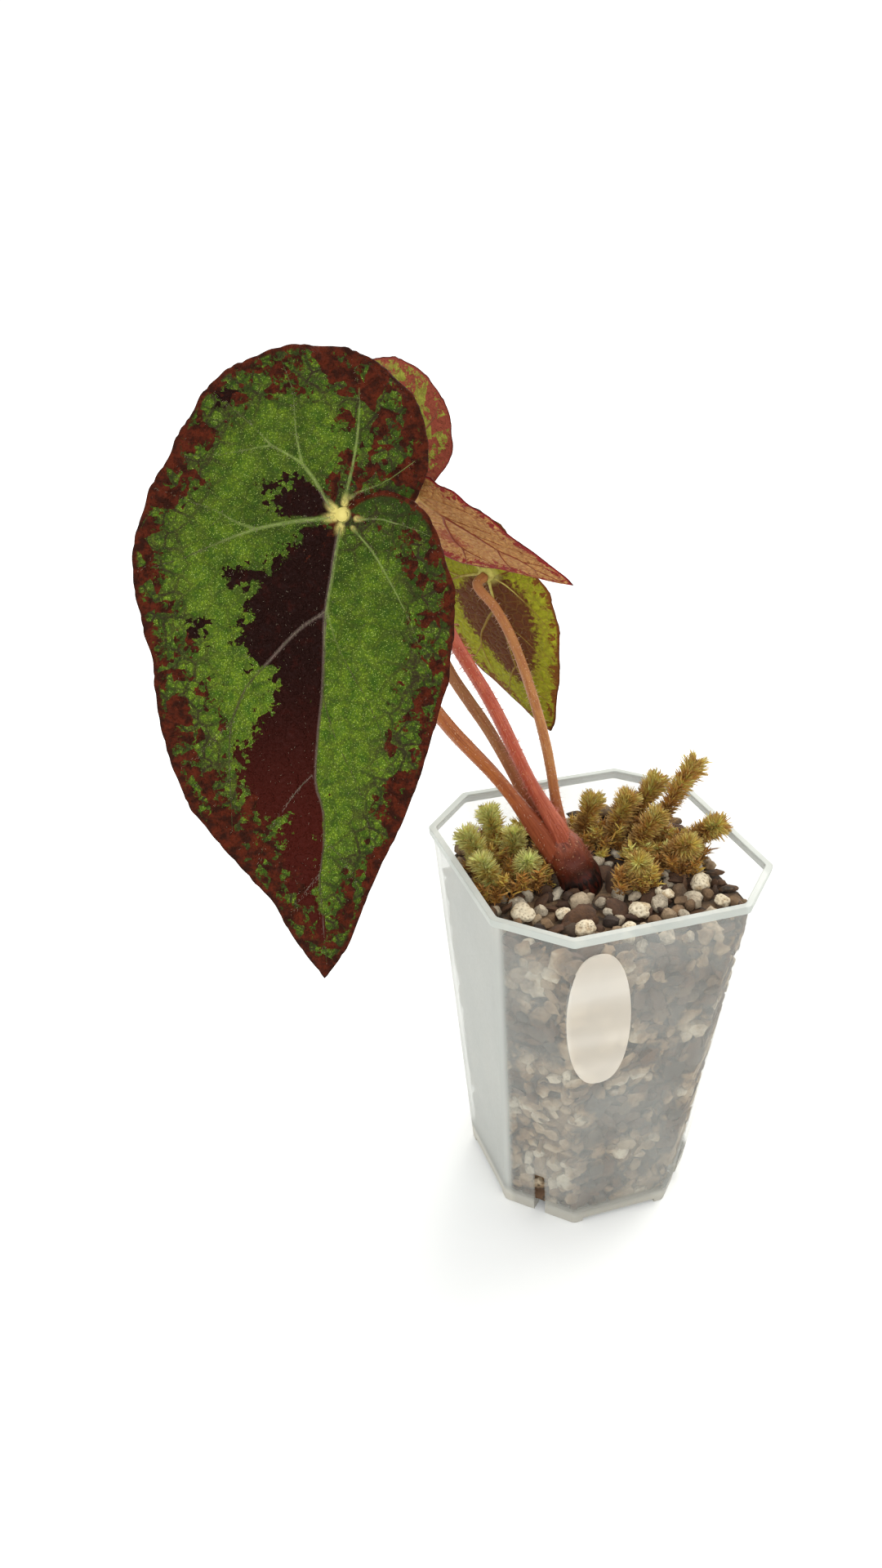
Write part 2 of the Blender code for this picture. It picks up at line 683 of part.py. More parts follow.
def moss_route(foot, lean, length):
    """A moss stem's middle line, from its buried foot to its tip."""
    x, y = (foot[0] * MM, foot[1] * MM)
    ground = Vector((x, y, SOIL_LEVEL))
    reach = Vector((lean[0], lean[1], 0)) * MM
    rise = math.sqrt(max(length**2 - lean[0]**2 - lean[1]**2, 9)) * MM
    bend = ground + reach * 0.35 + Vector((0, 0, rise * 0.55))
    return [ground - Vector((0, 0, MOSS_DEPTH)), ground, bend, ground + reach + Vector((0, 0, rise))]


def make_moss(number, foot, lean, length, head):
    """A moss sprig: a stem whose faces are drawn out to pointed leaves, fuller at the head."""
    draw = random.Random(40 + number)
    count = MOSS_WHORLS + 2
    points = curve_through(moss_route(foot, lean, length), count)
    buried = MOSS_DEPTH / (MOSS_DEPTH + length * MM)
    radii = []
    for i in range(count):
        top = ease(0.7, 0.95, i / (count - 1)) * (1 - ease(0.93, 1.0, i / (count - 1)))
        radii.append(MOSS_STEM_RADIUS * (1 + 0.6 * top))
    bm = tube(points, radii, MOSS_SIDES)
    bmesh.ops.recalc_face_normals(bm, faces=bm.faces)
    bm.faces.ensure_lookup_table()
    sides = [face for face in bm.faces if len(face.verts) == 4]
    marks = [(i // MOSS_SIDES + 0.5) / (count - 1) for i in range(len(sides))]
    leafy = [(face, mark) for face, mark in zip(sides, marks) if mark > buried + 0.16]
    for face, mark in leafy:
        k = int(mark * (count - 1))
        ahead = (points[k + 1] - points[k]).normalized()
        top = ease(0.72, 1.0, mark)
        direction = face.normal * (1 - 0.25 * top) + ahead * (0.45 + 0.75 * top)
        reach = (MOSS_LEAF_LENGTH * (1 - top) + head * MM * top) * draw.uniform(0.75, 1.1)
        made = bmesh.ops.poke(bm, faces=[face])
        made["verts"][0].co += direction.normalized() * reach
    return add_object(f"moss_{number + 1:02d}", bm, "moss", smooth=False, turn_out=False)


def moss_socket(foot, lean, length):
    """The plain hole in the soil for a moss stem's foot."""
    start = moss_route(foot, lean, length)[0] - Vector((0, 0, GAP))
    rise = start + Vector((0, 0, MOSS_DEPTH + MOSS_HOLE_RISE))
    return add_object("moss_hole", tube([start, rise], [MOSS_HOLE_RADIUS] * 2, MOSS_SIDES), "soil")


def make_grain(number, place, radius, wider=0.0, name=None):
    """A rough pumice grain, half sunk, or a wider copy to cut its seat with."""
    bm = bmesh.new()
    bmesh.ops.create_icosphere(bm, subdivisions=2, radius=1.0)
    draw = random.Random(80 + number)
    shift = Vector((draw.random(), draw.random(), draw.random())) * 9
    squash = Vector((1.0, draw.uniform(0.75, 0.95), draw.uniform(0.6, 0.8)))
    for vert in bm.verts:
        rough = 1 + 0.22 * noise.noise(vert.co * 1.3 + shift)
        vert.co = vert.co * (radius * MM * rough + wider)
    bmesh.ops.scale(bm, vec=squash, verts=bm.verts)
    turn = Matrix.Rotation(draw.uniform(0, math.pi), 3, "Z")
    bmesh.ops.rotate(bm, cent=(0, 0, 0), matrix=turn, verts=bm.verts)
    x, y = (place[0] * MM, place[1] * MM)
    z = soil_height(x, y) + radius * MM * 0.2
    bmesh.ops.translate(bm, vec=(x, y, z), verts=bm.verts)
    return add_object(name or f"pumice_{number + 1:02d}", bm, "pumice")


def build():
    """Build every piece of the plant and its pot."""
    clear_scene()
    make_pot()
    sockets = [crown_socket()]
    for number, (place, radius) in enumerate(PUMICE):
        make_grain(number, place, radius)
        sockets.append(make_grain(number, place, radius, 0.55 * MM, "grain_seat"))
    for number, (foot, lean, length, head) in enumerate(MOSS):
        make_moss(number, foot, lean, length, head)
        sockets.append(moss_socket(foot, lean, length))
    make_soil(sockets)
    holes = []
    for leaf in LEAVES:
        make_leaf(leaf)
        make_stalk(leaf)
        holes.append(make_stalk(leaf, STALK_FIT, 0.3, "stalk_hole"))
    make_crown(holes)


build()
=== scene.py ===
"""Looks of a young potted begonia: patterned leaves, stalks, moss, grit and a clear nursery pot."""

import logging
import math
import random
from collections.abc import Callable
from dataclasses import dataclass, field
from enum import Enum

import bmesh
import bpy
import numpy as np
from bmesh.types import BMEdge, BMesh, BMVert
from mathutils import Matrix, Vector, noise


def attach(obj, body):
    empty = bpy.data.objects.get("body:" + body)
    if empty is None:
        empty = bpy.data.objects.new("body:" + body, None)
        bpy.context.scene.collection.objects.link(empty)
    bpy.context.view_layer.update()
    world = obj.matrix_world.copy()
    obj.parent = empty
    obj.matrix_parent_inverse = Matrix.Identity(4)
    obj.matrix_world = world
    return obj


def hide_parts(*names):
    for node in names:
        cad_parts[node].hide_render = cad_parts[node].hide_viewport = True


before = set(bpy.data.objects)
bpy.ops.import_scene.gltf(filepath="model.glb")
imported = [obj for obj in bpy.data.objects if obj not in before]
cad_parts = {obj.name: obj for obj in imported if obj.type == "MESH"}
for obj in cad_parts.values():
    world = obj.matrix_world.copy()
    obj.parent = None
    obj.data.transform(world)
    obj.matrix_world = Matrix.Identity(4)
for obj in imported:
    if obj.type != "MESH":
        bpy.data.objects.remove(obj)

MM = 0.001
TAU = math.tau
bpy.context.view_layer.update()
log = logging.getLogger("begonia")

Array = np.ndarray
Chance = np.random.Generator
Thing = bpy.types.Object
Material = bpy.types.Material
Socket = bpy.types.NodeSocket
Input = Socket | float | tuple[float, ...]
Rgb = tuple[int, int, int]
Pair = tuple[float, float]
Triple = tuple[float, float, float]
Route = tuple[tuple[float, ...], ...]
Look = Callable[["Paint", Socket], Input]
Marks = dict[str, Socket]


# Curves and numbers


def ease(low: float, high: float, value: Array | float) -> Array:
    """Step smoothly from 0 at low to 1 at high."""
    share = np.clip((np.asarray(value, float) - low) / (high - low), 0.0, 1.0)
    return share * share * (3 - 2 * share)


def read_knots(table: Route, at: Array | float) -> Array:
    """Read a table of places and values with a smooth curve that never overshoots.

    Args:
        table: Pairs of place and value, with the places rising.
        at: The places to read.

    Returns:
        The value at each place.
    """
    places, values = np.array(table, float).T
    spans = np.diff(places)
    slopes = np.diff(values) / spans
    tilt = np.zeros(len(places))
    before, after = slopes[:-1], slopes[1:]
    same = before * after > 0
    tilt[1:-1][same] = 2 * before[same] * after[same] / (before[same] + after[same])
    tilt[0], tilt[-1] = slopes[0], slopes[-1]
    at = np.asarray(at, float)
    i = np.clip(np.searchsorted(places, at) - 1, 0, len(spans) - 1)
    t = np.clip((at - places[i]) / spans[i], 0.0, 1.0)
    return (
        (2 * t**3 - 3 * t**2 + 1) * values[i]
        + (t**3 - 2 * t**2 + t) * spans[i] * tilt[i]
        + (3 * t**2 - 2 * t**3) * values[i + 1]
        + (t**3 - t**2) * spans[i] * tilt[i + 1]
    )


def smooth_route(points: Route | Array, count: int) -> Array:
    """Place even points on a smooth curve through a route.

    Args:
        points: The route's own points, of any dimension.
        count: How many even points to give.

    Returns:
        An array with one row per point.
    """
    route = np.array(points, float)
    ends = np.vstack([route[0] * 2 - route[1], route, route[-1] * 2 - route[-2]])
    fine = []
    for a, b, c, d in zip(ends, ends[1:], ends[2:], ends[3:]):
        for t in np.arange(16) / 16:
            bend = (2 * a - 5 * b + 4 * c - d) * t**2 + (3 * b - a - 3 * c + d) * t**3
            fine.append(0.5 * (2 * b + (c - a) * t + bend))
    fine = np.array([*fine, route[-1]])
    run = np.concatenate([[0], np.cumsum(np.linalg.norm(np.diff(fine, axis=0), axis=1))])
    want = np.linspace(0, run[-1], count)
    return np.stack([np.interp(want, run, fine[:, k]) for k in range(fine.shape[1])], axis=1)


def unit(ways: Array) -> Array:
    """Give directions, one row each, a length of 1."""
    return ways / np.linalg.norm(ways, axis=1)[:, None]


def route_frames(points: Array) -> tuple[Array, Array, Array]:
    """Find the direction ahead and two square to it at each point of a route in space.

    Args:
        points: The route's points, one row each.

    Returns:
        The directions ahead, to the side and up, one row each.
    """
    ahead = unit(np.gradient(points, axis=0))
    up = np.array([0.0, 0.0, 1.0]) if abs(ahead[0][2]) < 0.9 else np.array([1.0, 0.0, 0.0])
    sides, ups = [], []
    for direction in ahead:
        side = np.cross(direction, up)
        side /= np.linalg.norm(side)
        up = np.cross(side, direction)
        sides.append(side)
        ups.append(up)
    return ahead, np.array(sides), np.array(ups)


def distance_to_route(places: Array, route: Array) -> tuple[Array, Array]:
    """Measure how far flat places lie from a route, and how far along it the nearest point is.

    Args:
        places: Flat places, one row each.
        route: The route's points, one row each.

    Returns:
        The distance of each place, and its share of the way along.
    """
    nearest = np.full(len(places), 1e9)
    along = np.zeros(len(places))
    count = len(route) - 1
    for i, (a, b) in enumerate(zip(route, route[1:])):
        step = b - a
        t = np.clip(((places - a) @ step) / max(float(step @ step), 1e-12), 0, 1)
        gap = np.hypot(*(places - a - t[:, None] * step).T)
        closer = gap < nearest
        nearest[closer] = gap[closer]
        along[closer] = (i + t[closer]) / count
    return nearest, along


def distance_into(places: Array, outline: Array) -> Array:
    """Measure how far flat places lie inside an outline.

    Args:
        places: Flat places, one row each.
        outline: The outline's points, one row each.

    Returns:
        The distance of each place from the outline, below zero outside it.
    """
    closed = np.vstack([outline, outline[:1]])
    gap, _ = distance_to_route(places, closed)
    inside = np.zeros(len(places), bool)
    for a, b in zip(closed, closed[1:]):
        spans = (a[1] > places[:, 1]) != (b[1] > places[:, 1])
        rise = b[1] - a[1] if b[1] != a[1] else 1e-12
        inside ^= spans & (places[:, 0] < (b[0] - a[0]) * (places[:, 1] - a[1]) / rise + a[0])
    return np.where(inside, gap, -gap)


# Meshes


@dataclass
class Mold:
    """A shape made with bmesh operators, read out so that it can be placed many times."""

    places: Array
    corners: Array
    sizes: Array

    @classmethod
    def take(cls, bm: BMesh) -> "Mold":
        """Read a bmesh out and free it.

        Args:
            bm: The bmesh, with its shape finished.

        Returns:
            The mold.
        """
        mesh = bpy.data.meshes.new("mold")
        bm.to_mesh(mesh)
        bm.free()
        places = np.zeros(len(mesh.vertices) * 3)
        mesh.vertices.foreach_get("co", places)
        corners = np.zeros(len(mesh.loops), int)
        mesh.loops.foreach_get("vertex_index", corners)
        sizes = np.zeros(len(mesh.polygons), int)
        mesh.polygons.foreach_get("loop_total", sizes)
        bpy.data.meshes.remove(mesh)
        return cls(places.reshape(-1, 3), corners, sizes)

    def moved(self, places: Array) -> "Mold":
        """The same faces with their points in new places."""
        return Mold(places, self.corners, self.sizes)


def sheet_mold(across: int, along: int) -> Mold:
    """Make a flat grid from 0 to 1 on X and Y.

    Args:
        across: Faces along X.
        along: Faces along Y.

    Returns:
        The grid.
    """
    bm = bmesh.new()
    bmesh.ops.create_grid(bm, x_segments=across, y_segments=along, size=0.5)
    bmesh.ops.translate(bm, vec=(0.5, 0.5, 0), verts=bm.verts)
    return Mold.take(bm)


def rod_mold(sides: int, lengths: int) -> Mold:
    """Make a round rod of radius 1 from 0 to 1 on Z.

    Args:
        sides: Faces round the rod.
        lengths: Faces along the rod.

    Returns:
        The rod, with closed ends.
    """
    bm = bmesh.new()
    bmesh.ops.create_cone(bm, cap_ends=True, segments=sides, radius1=1, radius2=1, depth=1)
    long_edges = [e for e in bm.edges if abs(e.verts[0].co.z - e.verts[1].co.z) > 0.5]
    if lengths > 1:
        bmesh.ops.subdivide_edges(bm, edges=long_edges, cuts=lengths - 1)
    bmesh.ops.translate(bm, vec=(0, 0, 0.5), verts=bm.verts)
    return Mold.take(bm)


def hair_mold() -> Mold:
    """Make a three-sided pointed hair.

    Returns:
        The hair, of radius 1, from 0 to 1 on Z.
    """
    bm = bmesh.new()
    bmesh.ops.create_cone(bm, cap_ends=False, segments=3, radius1=1, radius2=0, depth=1)
    bmesh.ops.remove_doubles(bm, verts=bm.verts, dist=1e-5)
    bmesh.ops.translate(bm, vec=(0, 0, 0.5), verts=bm.verts)
    return Mold.take(bm)


def stone_mold(fineness: int) -> Mold:
    """Make a ball of radius 1 out of even triangles.

    Args:
        fineness: How often its triangles are split.

    Returns:
        The ball.
    """
    bm = bmesh.new()
    bmesh.ops.create_icosphere(bm, subdivisions=fineness, radius=1)
    return Mold.take(bm)


def frond_mold() -> Mold:
    """Make a small pointed moss leaf, hollowed towards +Y.

    Returns:
        The leaf, one unit wide, from 0 to 1 on Z.
    """
    bm = bmesh.new()
    bmesh.ops.create_grid(bm, x_segments=2, y_segments=3, size=0.5)
    for vert in bm.verts:
        along = vert.co.y + 0.5
        width = math.sin(math.pi * (0.12 + 0.88 * along)) ** 0.8
        side = vert.co.x
        vert.co = (side * max(width, 0.02), 0.35 * (side * side + along * along), along)
    bmesh.ops.remove_doubles(bm, verts=bm.verts, dist=0.02)
    return Mold.take(bm)


@dataclass
class Piece:
    """One visible piece: molds placed one after another, and what is written on their points."""

    name: str
    molds: list[Mold] = field(default_factory=list)
    notes: list[dict[str, Array]] = field(default_factory=list)
    coats: list[int] = field(default_factory=list)

    def place(self, mold: Mold, coat: int = 0, **notes: Array | float) -> None:
        """Add a mold to the piece.

        Args:
            mold: The shape, with its points where they belong.
            coat: Which of the piece's materials it takes.
            **notes: Values kept on the points, for the materials to read.
        """
        count = len(mold.places)
        self.molds.append(mold)
        self.coats.append(coat)
        self.notes.append(
            {key: np.broadcast_to(np.asarray(value, float), (count,)) for key, value in notes.items()}
        )

    def place_many(self, mold: Mold, places: Array, coat: int = 0, **notes: Array) -> None:
        """Add many copies of a mold at once.

        Args:
            mold: The shape that repeats.
            places: Its points in each copy, copies by points by 3.
            coat: Which of the piece's materials they take.
            **notes: One value for each copy, or one for each point of each copy.
        """
        copies, count, _ = places.shape
        shift = np.arange(copies)[:, None] * count
        corners = (mold.corners[None, :] + shift).ravel()
        grown = Mold(places.reshape(-1, 3), corners, np.tile(mold.sizes, copies))
        spread = {}
        for key, value in notes.items():
            value = np.asarray(value, float)
            if value.ndim == 1:
                value = np.repeat(value, count)
            spread[key] = value.ravel()
        self.place(grown, coat, **spread)

    def finish(self, coats: list[Material], angle: float | None = None) -> Thing:
        """Write the piece as one mesh object at the origin.

        Args:
            coats: The piece's materials, in order.
            angle: Edges sharper than this many degrees stay sharp, or none do.

        Returns:
            The new object.
        """
        mesh = bpy.data.meshes.new(self.name)
        places = np.vstack([mold.places for mold in self.molds])
        starts = np.cumsum([0, *[len(mold.places) for mold in self.molds[:-1]]])
        corners = np.concatenate([m.corners + start for m, start in zip(self.molds, starts)])
        sizes = np.concatenate([mold.sizes for mold in self.molds])
        coat = np.concatenate([np.full(len(m.sizes), c) for m, c in zip(self.molds, self.coats)])
        mesh.vertices.add(len(places))
        mesh.vertices.foreach_set("co", places.ravel().astype(np.float32))
        mesh.loops.add(len(corners))
        mesh.loops.foreach_set("vertex_index", corners.astype(np.int32))
        mesh.polygons.add(len(sizes))
        mesh.polygons.foreach_set("loop_start", np.cumsum([0, *sizes[:-1]]).astype(np.int32))
        mesh.polygons.foreach_set("loop_total", sizes.astype(np.int32))
        mesh.polygons.foreach_set("material_index", coat.astype(np.int32))
        mesh.update(calc_edges=True)
        names = sorted({key for notes in self.notes for key in notes})
        values = {}
        for name in names:
            values[name] = np.concatenate(
                [notes.get(name, np.zeros(len(m.places))) for m, notes in zip(self.molds, self.notes)]
            )
        if "flat_x" in values:
            layer = mesh.uv_layers.new(name="blade")
            flat = np.stack([values.pop("flat_x"), values.pop("flat_y")], axis=1)
            layer.data.foreach_set("uv", flat[corners].astype(np.float32).ravel())
        for name, value in values.items():
            layer = mesh.attributes.new(name, "FLOAT", "POINT")
            layer.data.foreach_set("value", value.astype(np.float32))
        mesh.shade_smooth()
        if angle is not None:
            mesh.set_sharp_from_angle(angle=math.radians(angle))
        for material in coats:
            mesh.materials.append(material)
        return add_thing(self.name, mesh)


def add_thing(name: str, data: bpy.types.ID) -> Thing:
    """Put a new object in the scene.

    Args:
        name: The object's name.
        data: Its mesh, light or camera.

    Returns:
        The object.
    """
    thing = bpy.data.objects.new(name, data)
    bpy.context.scene.collection.objects.link(thing)
    return thing


def show(name: str, bm: BMesh) -> Thing:
    """Turn a bmesh into an object of the scene, and free it.

    Args:
        name: The object's name.
        bm: The bmesh.

    Returns:
        The object.
    """
    mesh = bpy.data.meshes.new(name)
    bm.to_mesh(mesh)
    bm.free()
    return add_thing(name, mesh)


def raise_ring(bm: BMesh, ring: list[BMVert], places: list[Vector]) -> list[BMVert]:
    """Extrude a ring of edges.

    Args:
        bm: The bmesh.
        ring: The ring's points in order.
        places: Where the new ring's points go.

    Returns:
        The new ring's points in the same order.
    """
    edges = [bm.edges.get((a, b)) for a, b in zip(ring, [*ring[1:], ring[0]])]
    made = bmesh.ops.extrude_edge_only(bm, edges=edges)["geom"]
    fresh = {v for v in made if isinstance(v, BMVert)}
    ring = [next(e.other_vert(v) for e in v.link_edges if e.other_vert(v) in fresh) for v in ring]
    for vert, place in zip(ring, places):
        vert.co = place
    return ring


def round_edges(bm: BMesh, edges: list[BMEdge], reach: float) -> dict:
    """Bevel edges round, as far as a reach in millimetres."""
    return bmesh.ops.bevel(
        bm, geom=edges, offset=reach * MM, offset_type="OFFSET",
        segments=3, profile=0.5, affect="EDGES", material=-1,
    )


def hand_over(thing: Thing, slot: str, *nodes: str) -> None:
    """Seat a finished piece in the frame and report it.

    Args:
        thing: The piece's object.
        slot: Not used.
        *nodes: The plain nodes that it stands for.
    """
    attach(thing, "root")
    if nodes:
        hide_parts(*nodes)
    faces = sum(len(face.vertices) - 2 for face in thing.data.polygons)
    log.info("%s: %d triangles", thing.name, faces)


def rod_along(route: Array, radii: Array, sides: int, lengths: int) -> Mold:
    """Bend a rod along a route, with a radius at each of its rings.

    Args:
        route: Points in space, one row each.
        radii: The radius at each point of the route.
        sides: Faces round the rod.
        lengths: Faces along the rod.

    Returns:
        The bent rod.
    """
    mold = rod_mold(sides, lengths)
    run = np.linspace(0, 1, len(route))
    even = np.linspace(0, 1, lengths + 1)
    points = np.stack([np.interp(even, run, route[:, k]) for k in range(3)], axis=1)
    _, side, up = route_frames(points)
    ring = np.rint(mold.places[:, 2] * lengths).astype(int)
    radius = np.interp(even, run, radii)[ring][:, None]
    x, y = mold.places[:, 0:1], mold.places[:, 1:2]
    return mold.moved(points[ring] + (side[ring] * x + up[ring] * y) * radius)


def place_stem(
    piece: Piece, route: Array, radii: Array, sides: int, skin: Callable[[Array, Array, Array], Array]
) -> None:
    """Add a stem whose skin has grooves or knobs.

    Args:
        piece: The piece that the stem joins.
        route: Its middle line, one row for each ring.
        radii: Its radius at each ring.
        sides: Faces round it.
        skin: Gives each point's swelling from its turn, its rise and its place.
    """
    lengths = len(route) - 1
    rod = rod_along(route, radii, sides, lengths)
    plain = rod_mold(sides, lengths).places
    turn, rise = np.arctan2(plain[:, 1], plain[:, 0]), plain[:, 2]
    centre = route[np.rint(rise * lengths).astype(int)]
    rod = rod.moved(centre + (rod.places - centre) * skin(turn, rise, rod.places)[:, None])
    piece.place(rod, 0, rise=rise, turn=np.abs(turn) / math.pi)


def stem_roots(
    route: Array, radii: Array, draw: Chance, rings: tuple[int, int, int], depth: float
) -> tuple[Array, Array, Array]:
    """Pick where hairs grow on a stem.

    Args:
        route: The stem's middle line.
        radii: Its radius at each ring.
        draw: The source of chance.
        rings: The first ring, the ring after the last, and how many hairs.
        depth: How deep they are rooted, as a share of the radius.

    Returns:
        Each hair's ring, its direction away from the stem, and its root.
    """
    _, side, up = route_frames(route)
    at = draw.integers(*rings)
    spin = draw.uniform(0, TAU, len(at))
    away = side[at] * np.cos(spin)[:, None] + up[at] * np.sin(spin)[:, None]
    return at, away, route[at] + away * (radii[at] * depth)[:, None]


def place_hairs(
    piece: Piece, coat: int, roots: Array, ways: Array, lengths: Array, radius: float, bend: float
) -> None:
    """Place a hair on each root.

    Args:
        piece: The piece that the hairs join.
        coat: Which of the piece's materials they take.
        roots: Where the hairs grow, one row each.
        ways: Which way each one points.
        lengths: Their lengths.
        radius: Their radius at the root.
        bend: How far the tips hang, as a share of the length.
    """
    mold = hair_mold()
    ahead = unit(ways)
    helper = np.where(np.abs(ahead[:, 2:3]) < 0.9, [[0.0, 0.0, 1.0]], [[1.0, 0.0, 0.0]])
    side = unit(np.cross(ahead, helper))
    up = np.cross(side, ahead)
    x, y, z = mold.places.T
    places = (
        roots[:, None, :]
        + side[:, None, :] * x[None, :, None] * radius
        + up[:, None, :] * y[None, :, None] * radius
        + ahead[:, None, :] * (z[None, :, None] * lengths[:, None, None])
    )
    places[:, :, 2] -= (z[None, :] ** 2) * lengths[:, None] * bend
    piece.place_many(mold, places, coat, out=np.tile(z, (len(roots), 1)))


# Materials


def colour(rgb: Rgb) -> tuple[float, float, float, float]:
    """Turn a colour of 0 to 255 into the values that a shader takes."""
    return (*[((c / 255 + 0.055) / 1.055) ** 2.4 if c > 10 else c / 255 / 12.92 for c in rgb], 1.0)


class Paint:
    """A material in the making, with short calls for the nodes that the finishes share."""

    def __init__(self, name: str) -> None:
        """Start a material whose tree holds its shader.

        Args:
            name: The material's name.
        """
        self.material = bpy.data.materials.new(name)
        self.material.use_nodes = True
        self.tree = self.material.node_tree
        self.shader = self.tree.nodes["Principled BSDF"]

    def feed(self, socket: Socket, value: Input) -> None:
        """Link a socket to another, or set it to a value.

        Args:
            socket: The socket to feed.
            value: A socket, a number, or a colour of 0 to 255.
        """
        if isinstance(value, Socket):
            self.tree.links.new(value, socket)
        elif isinstance(value, tuple) and len(value) == 3 and socket.type == "RGBA":
            socket.default_value = colour(value)
        else:
            socket.default_value = value

    def node(self, kind: str, feeds: dict[str | int, Input], **settings: object) -> bpy.types.Node:
        """Add a shader node.

        Args:
            kind: The node's type.
            feeds: What its sockets take, by their names or places.
            **settings: Its own properties.

        Returns:
            The new node.
        """
        made = self.tree.nodes.new("ShaderNode" + kind)
        for key, value in settings.items():
            setattr(made, key, value)
        for key, value in feeds.items():
            self.feed(made.inputs[key], value)
        return made

    def place(self) -> Socket:
        """The point's place in the object."""
        return self.node("TexCoord", {}).outputs["Object"]

    def axes(self) -> tuple[Socket, ...]:
        """The point's place in the object along X, Y and Z."""
        return tuple(self.node("SeparateXYZ", {0: self.place()}).outputs)

    def joined(self, x: Input = 0.0, y: Input = 0.0, z: Input = 0.0) -> Socket:
        """Coordinates made of three values."""
        return self.node("CombineXYZ", {"X": x, "Y": y, "Z": z}).outputs["Vector"]

    def flat(self) -> Socket:
        """The point's place in the leaf's own plane."""
        return self.node("UVMap", {}, uv_map="blade").outputs["UV"]

    def note(self, name: str) -> Socket:
        """A value kept on the mesh."""
        return self.node("Attribute", {}, attribute_name=name).outputs["Fac"]

    def grain(self, where: Socket, scale: float, detail: float = 3.0, rough: float = 0.5) -> Socket:
        """Soft noise from 0 to 1, its scale the number of features in one unit of the coordinates."""
        feeds = {"Vector": where, "Scale": scale, "Detail": detail, "Roughness": rough}
        return self.node("TexNoise", feeds).outputs["Fac"]

    def bent(self, where: Socket, scale: float, reach: float) -> Socket:
        """Coordinates that wander softly, as far as the reach."""
        feeds = {
            0: self.node("TexNoise", {"Vector": where, "Scale": scale}).outputs["Color"],
            1: (reach, reach, reach),
            2: where,
        }
        return self.node("VectorMath", feeds, operation="MULTIPLY_ADD").outputs[0]

    def cells(self, where: Socket, scale: float, feature: str = "F1", output: str = "Distance") -> Socket:
        """Cells of even size: how far a point lies from their middles or edges, or their colours."""
        return self.node("TexVoronoi", {"Vector": where, "Scale": scale}, feature=feature).outputs[output]

    def maths(self, operation: str, a: Input, b: Input) -> Socket:
        """One sum on two values."""
        return self.node("Math", {0: a, 1: b}, operation=operation).outputs[0]

    def times(self, a: Input, b: Input) -> Socket:
        """One value times another."""
        return self.maths("MULTIPLY", a, b)

    def plus(self, a: Input, b: Input) -> Socket:
        """One value with another added."""
        return self.maths("ADD", a, b)

    def less(self, a: Input, b: Input) -> Socket:
        """One value with another taken away."""
        return self.maths("SUBTRACT", a, b)

    def most(self, a: Input, b: Input) -> Socket:
        """The larger of two values."""
        return self.maths("MAXIMUM", a, b)

    def band(self, value: Input, low: float, high: float, start: float = 0.0, end: float = 1.0) -> Socket:
        """A smooth step from start where the value is low to end where it is high."""
        feeds = {"Value": value, "From Min": low, "From Max": high, "To Min": start, "To Max": end}
        return self.node("MapRange", feeds, interpolation_type="SMOOTHSTEP").outputs["Result"]

    def mix(self, share: Input, a: Input, b: Input) -> Socket:
        """A blend from colour a at a share of 0 to colour b at 1."""
        return self.node("Mix", {0: share, 6: a, 7: b}, data_type="RGBA").outputs[2]

    def ramp(self, value: Socket, *stops: tuple[float, Rgb]) -> Socket:
        """Lay colours along a value.

        Args:
            value: The value's socket.
            *stops: Pairs of a value and its colour, with the values rising.

        Returns:
            The colour's socket.
        """
        made = self.node("ValToRGB", {"Fac": value})
        elements = made.color_ramp.elements
        while len(elements) < len(stops):
            elements.new(0.5)
        for element, (position, rgb) in zip(elements, stops):
            element.position = position
            element.color = colour(rgb)
        return made.outputs["Color"]

    def relief(self, height: Socket, depth: float, strength: float) -> None:
        """Give the surface a bump, over any that it has.

        Args:
            height: The bump's height, from 0 to 1.
            depth: How deep it is, in metres.
            strength: How much of it shows.
        """
        made = self.node("Bump", {"Strength": strength, "Distance": depth, "Height": height})
        normal = self.shader.inputs["Normal"]
        if normal.is_linked:
            self.feed(made.inputs["Normal"], normal.links[0].from_socket)
        self.feed(normal, made.outputs["Normal"])

    def set(self, **values: Input) -> Material:
        """Set the shader's own sockets.

        Args:
            **values: What they take, by their names with _ for a space.

        Returns:
            The finished material.
        """
        for key, value in values.items():
            self.feed(self.shader.inputs[key.replace("_", " ")], value)
        return self.material


# Leaves


NEAR_MARGIN: Route = (
    (0, 86.8), (3, 80), (7, 68.5), (15, 55.5), (25, 43.5), (38, 34), (56, 25.5),
    (75, 19), (100, 13.8), (120, 8.7), (137, 3.9), (144, 2.1),
)
FAR_MARGIN: Route = (
    (0, 86.8), (4, 80.2), (9, 72.3), (16, 66.6), (28, 59.3), (36, 53.4), (53, 43.5),
    (72, 40.5), (95, 36.3), (108, 33.9), (135, 34.4), (160, 32.7), (182, 30.2),
    (207, 25.7), (227, 20.7), (247, 15.5), (264, 10.5), (280, 6), (296, 2.1),
)

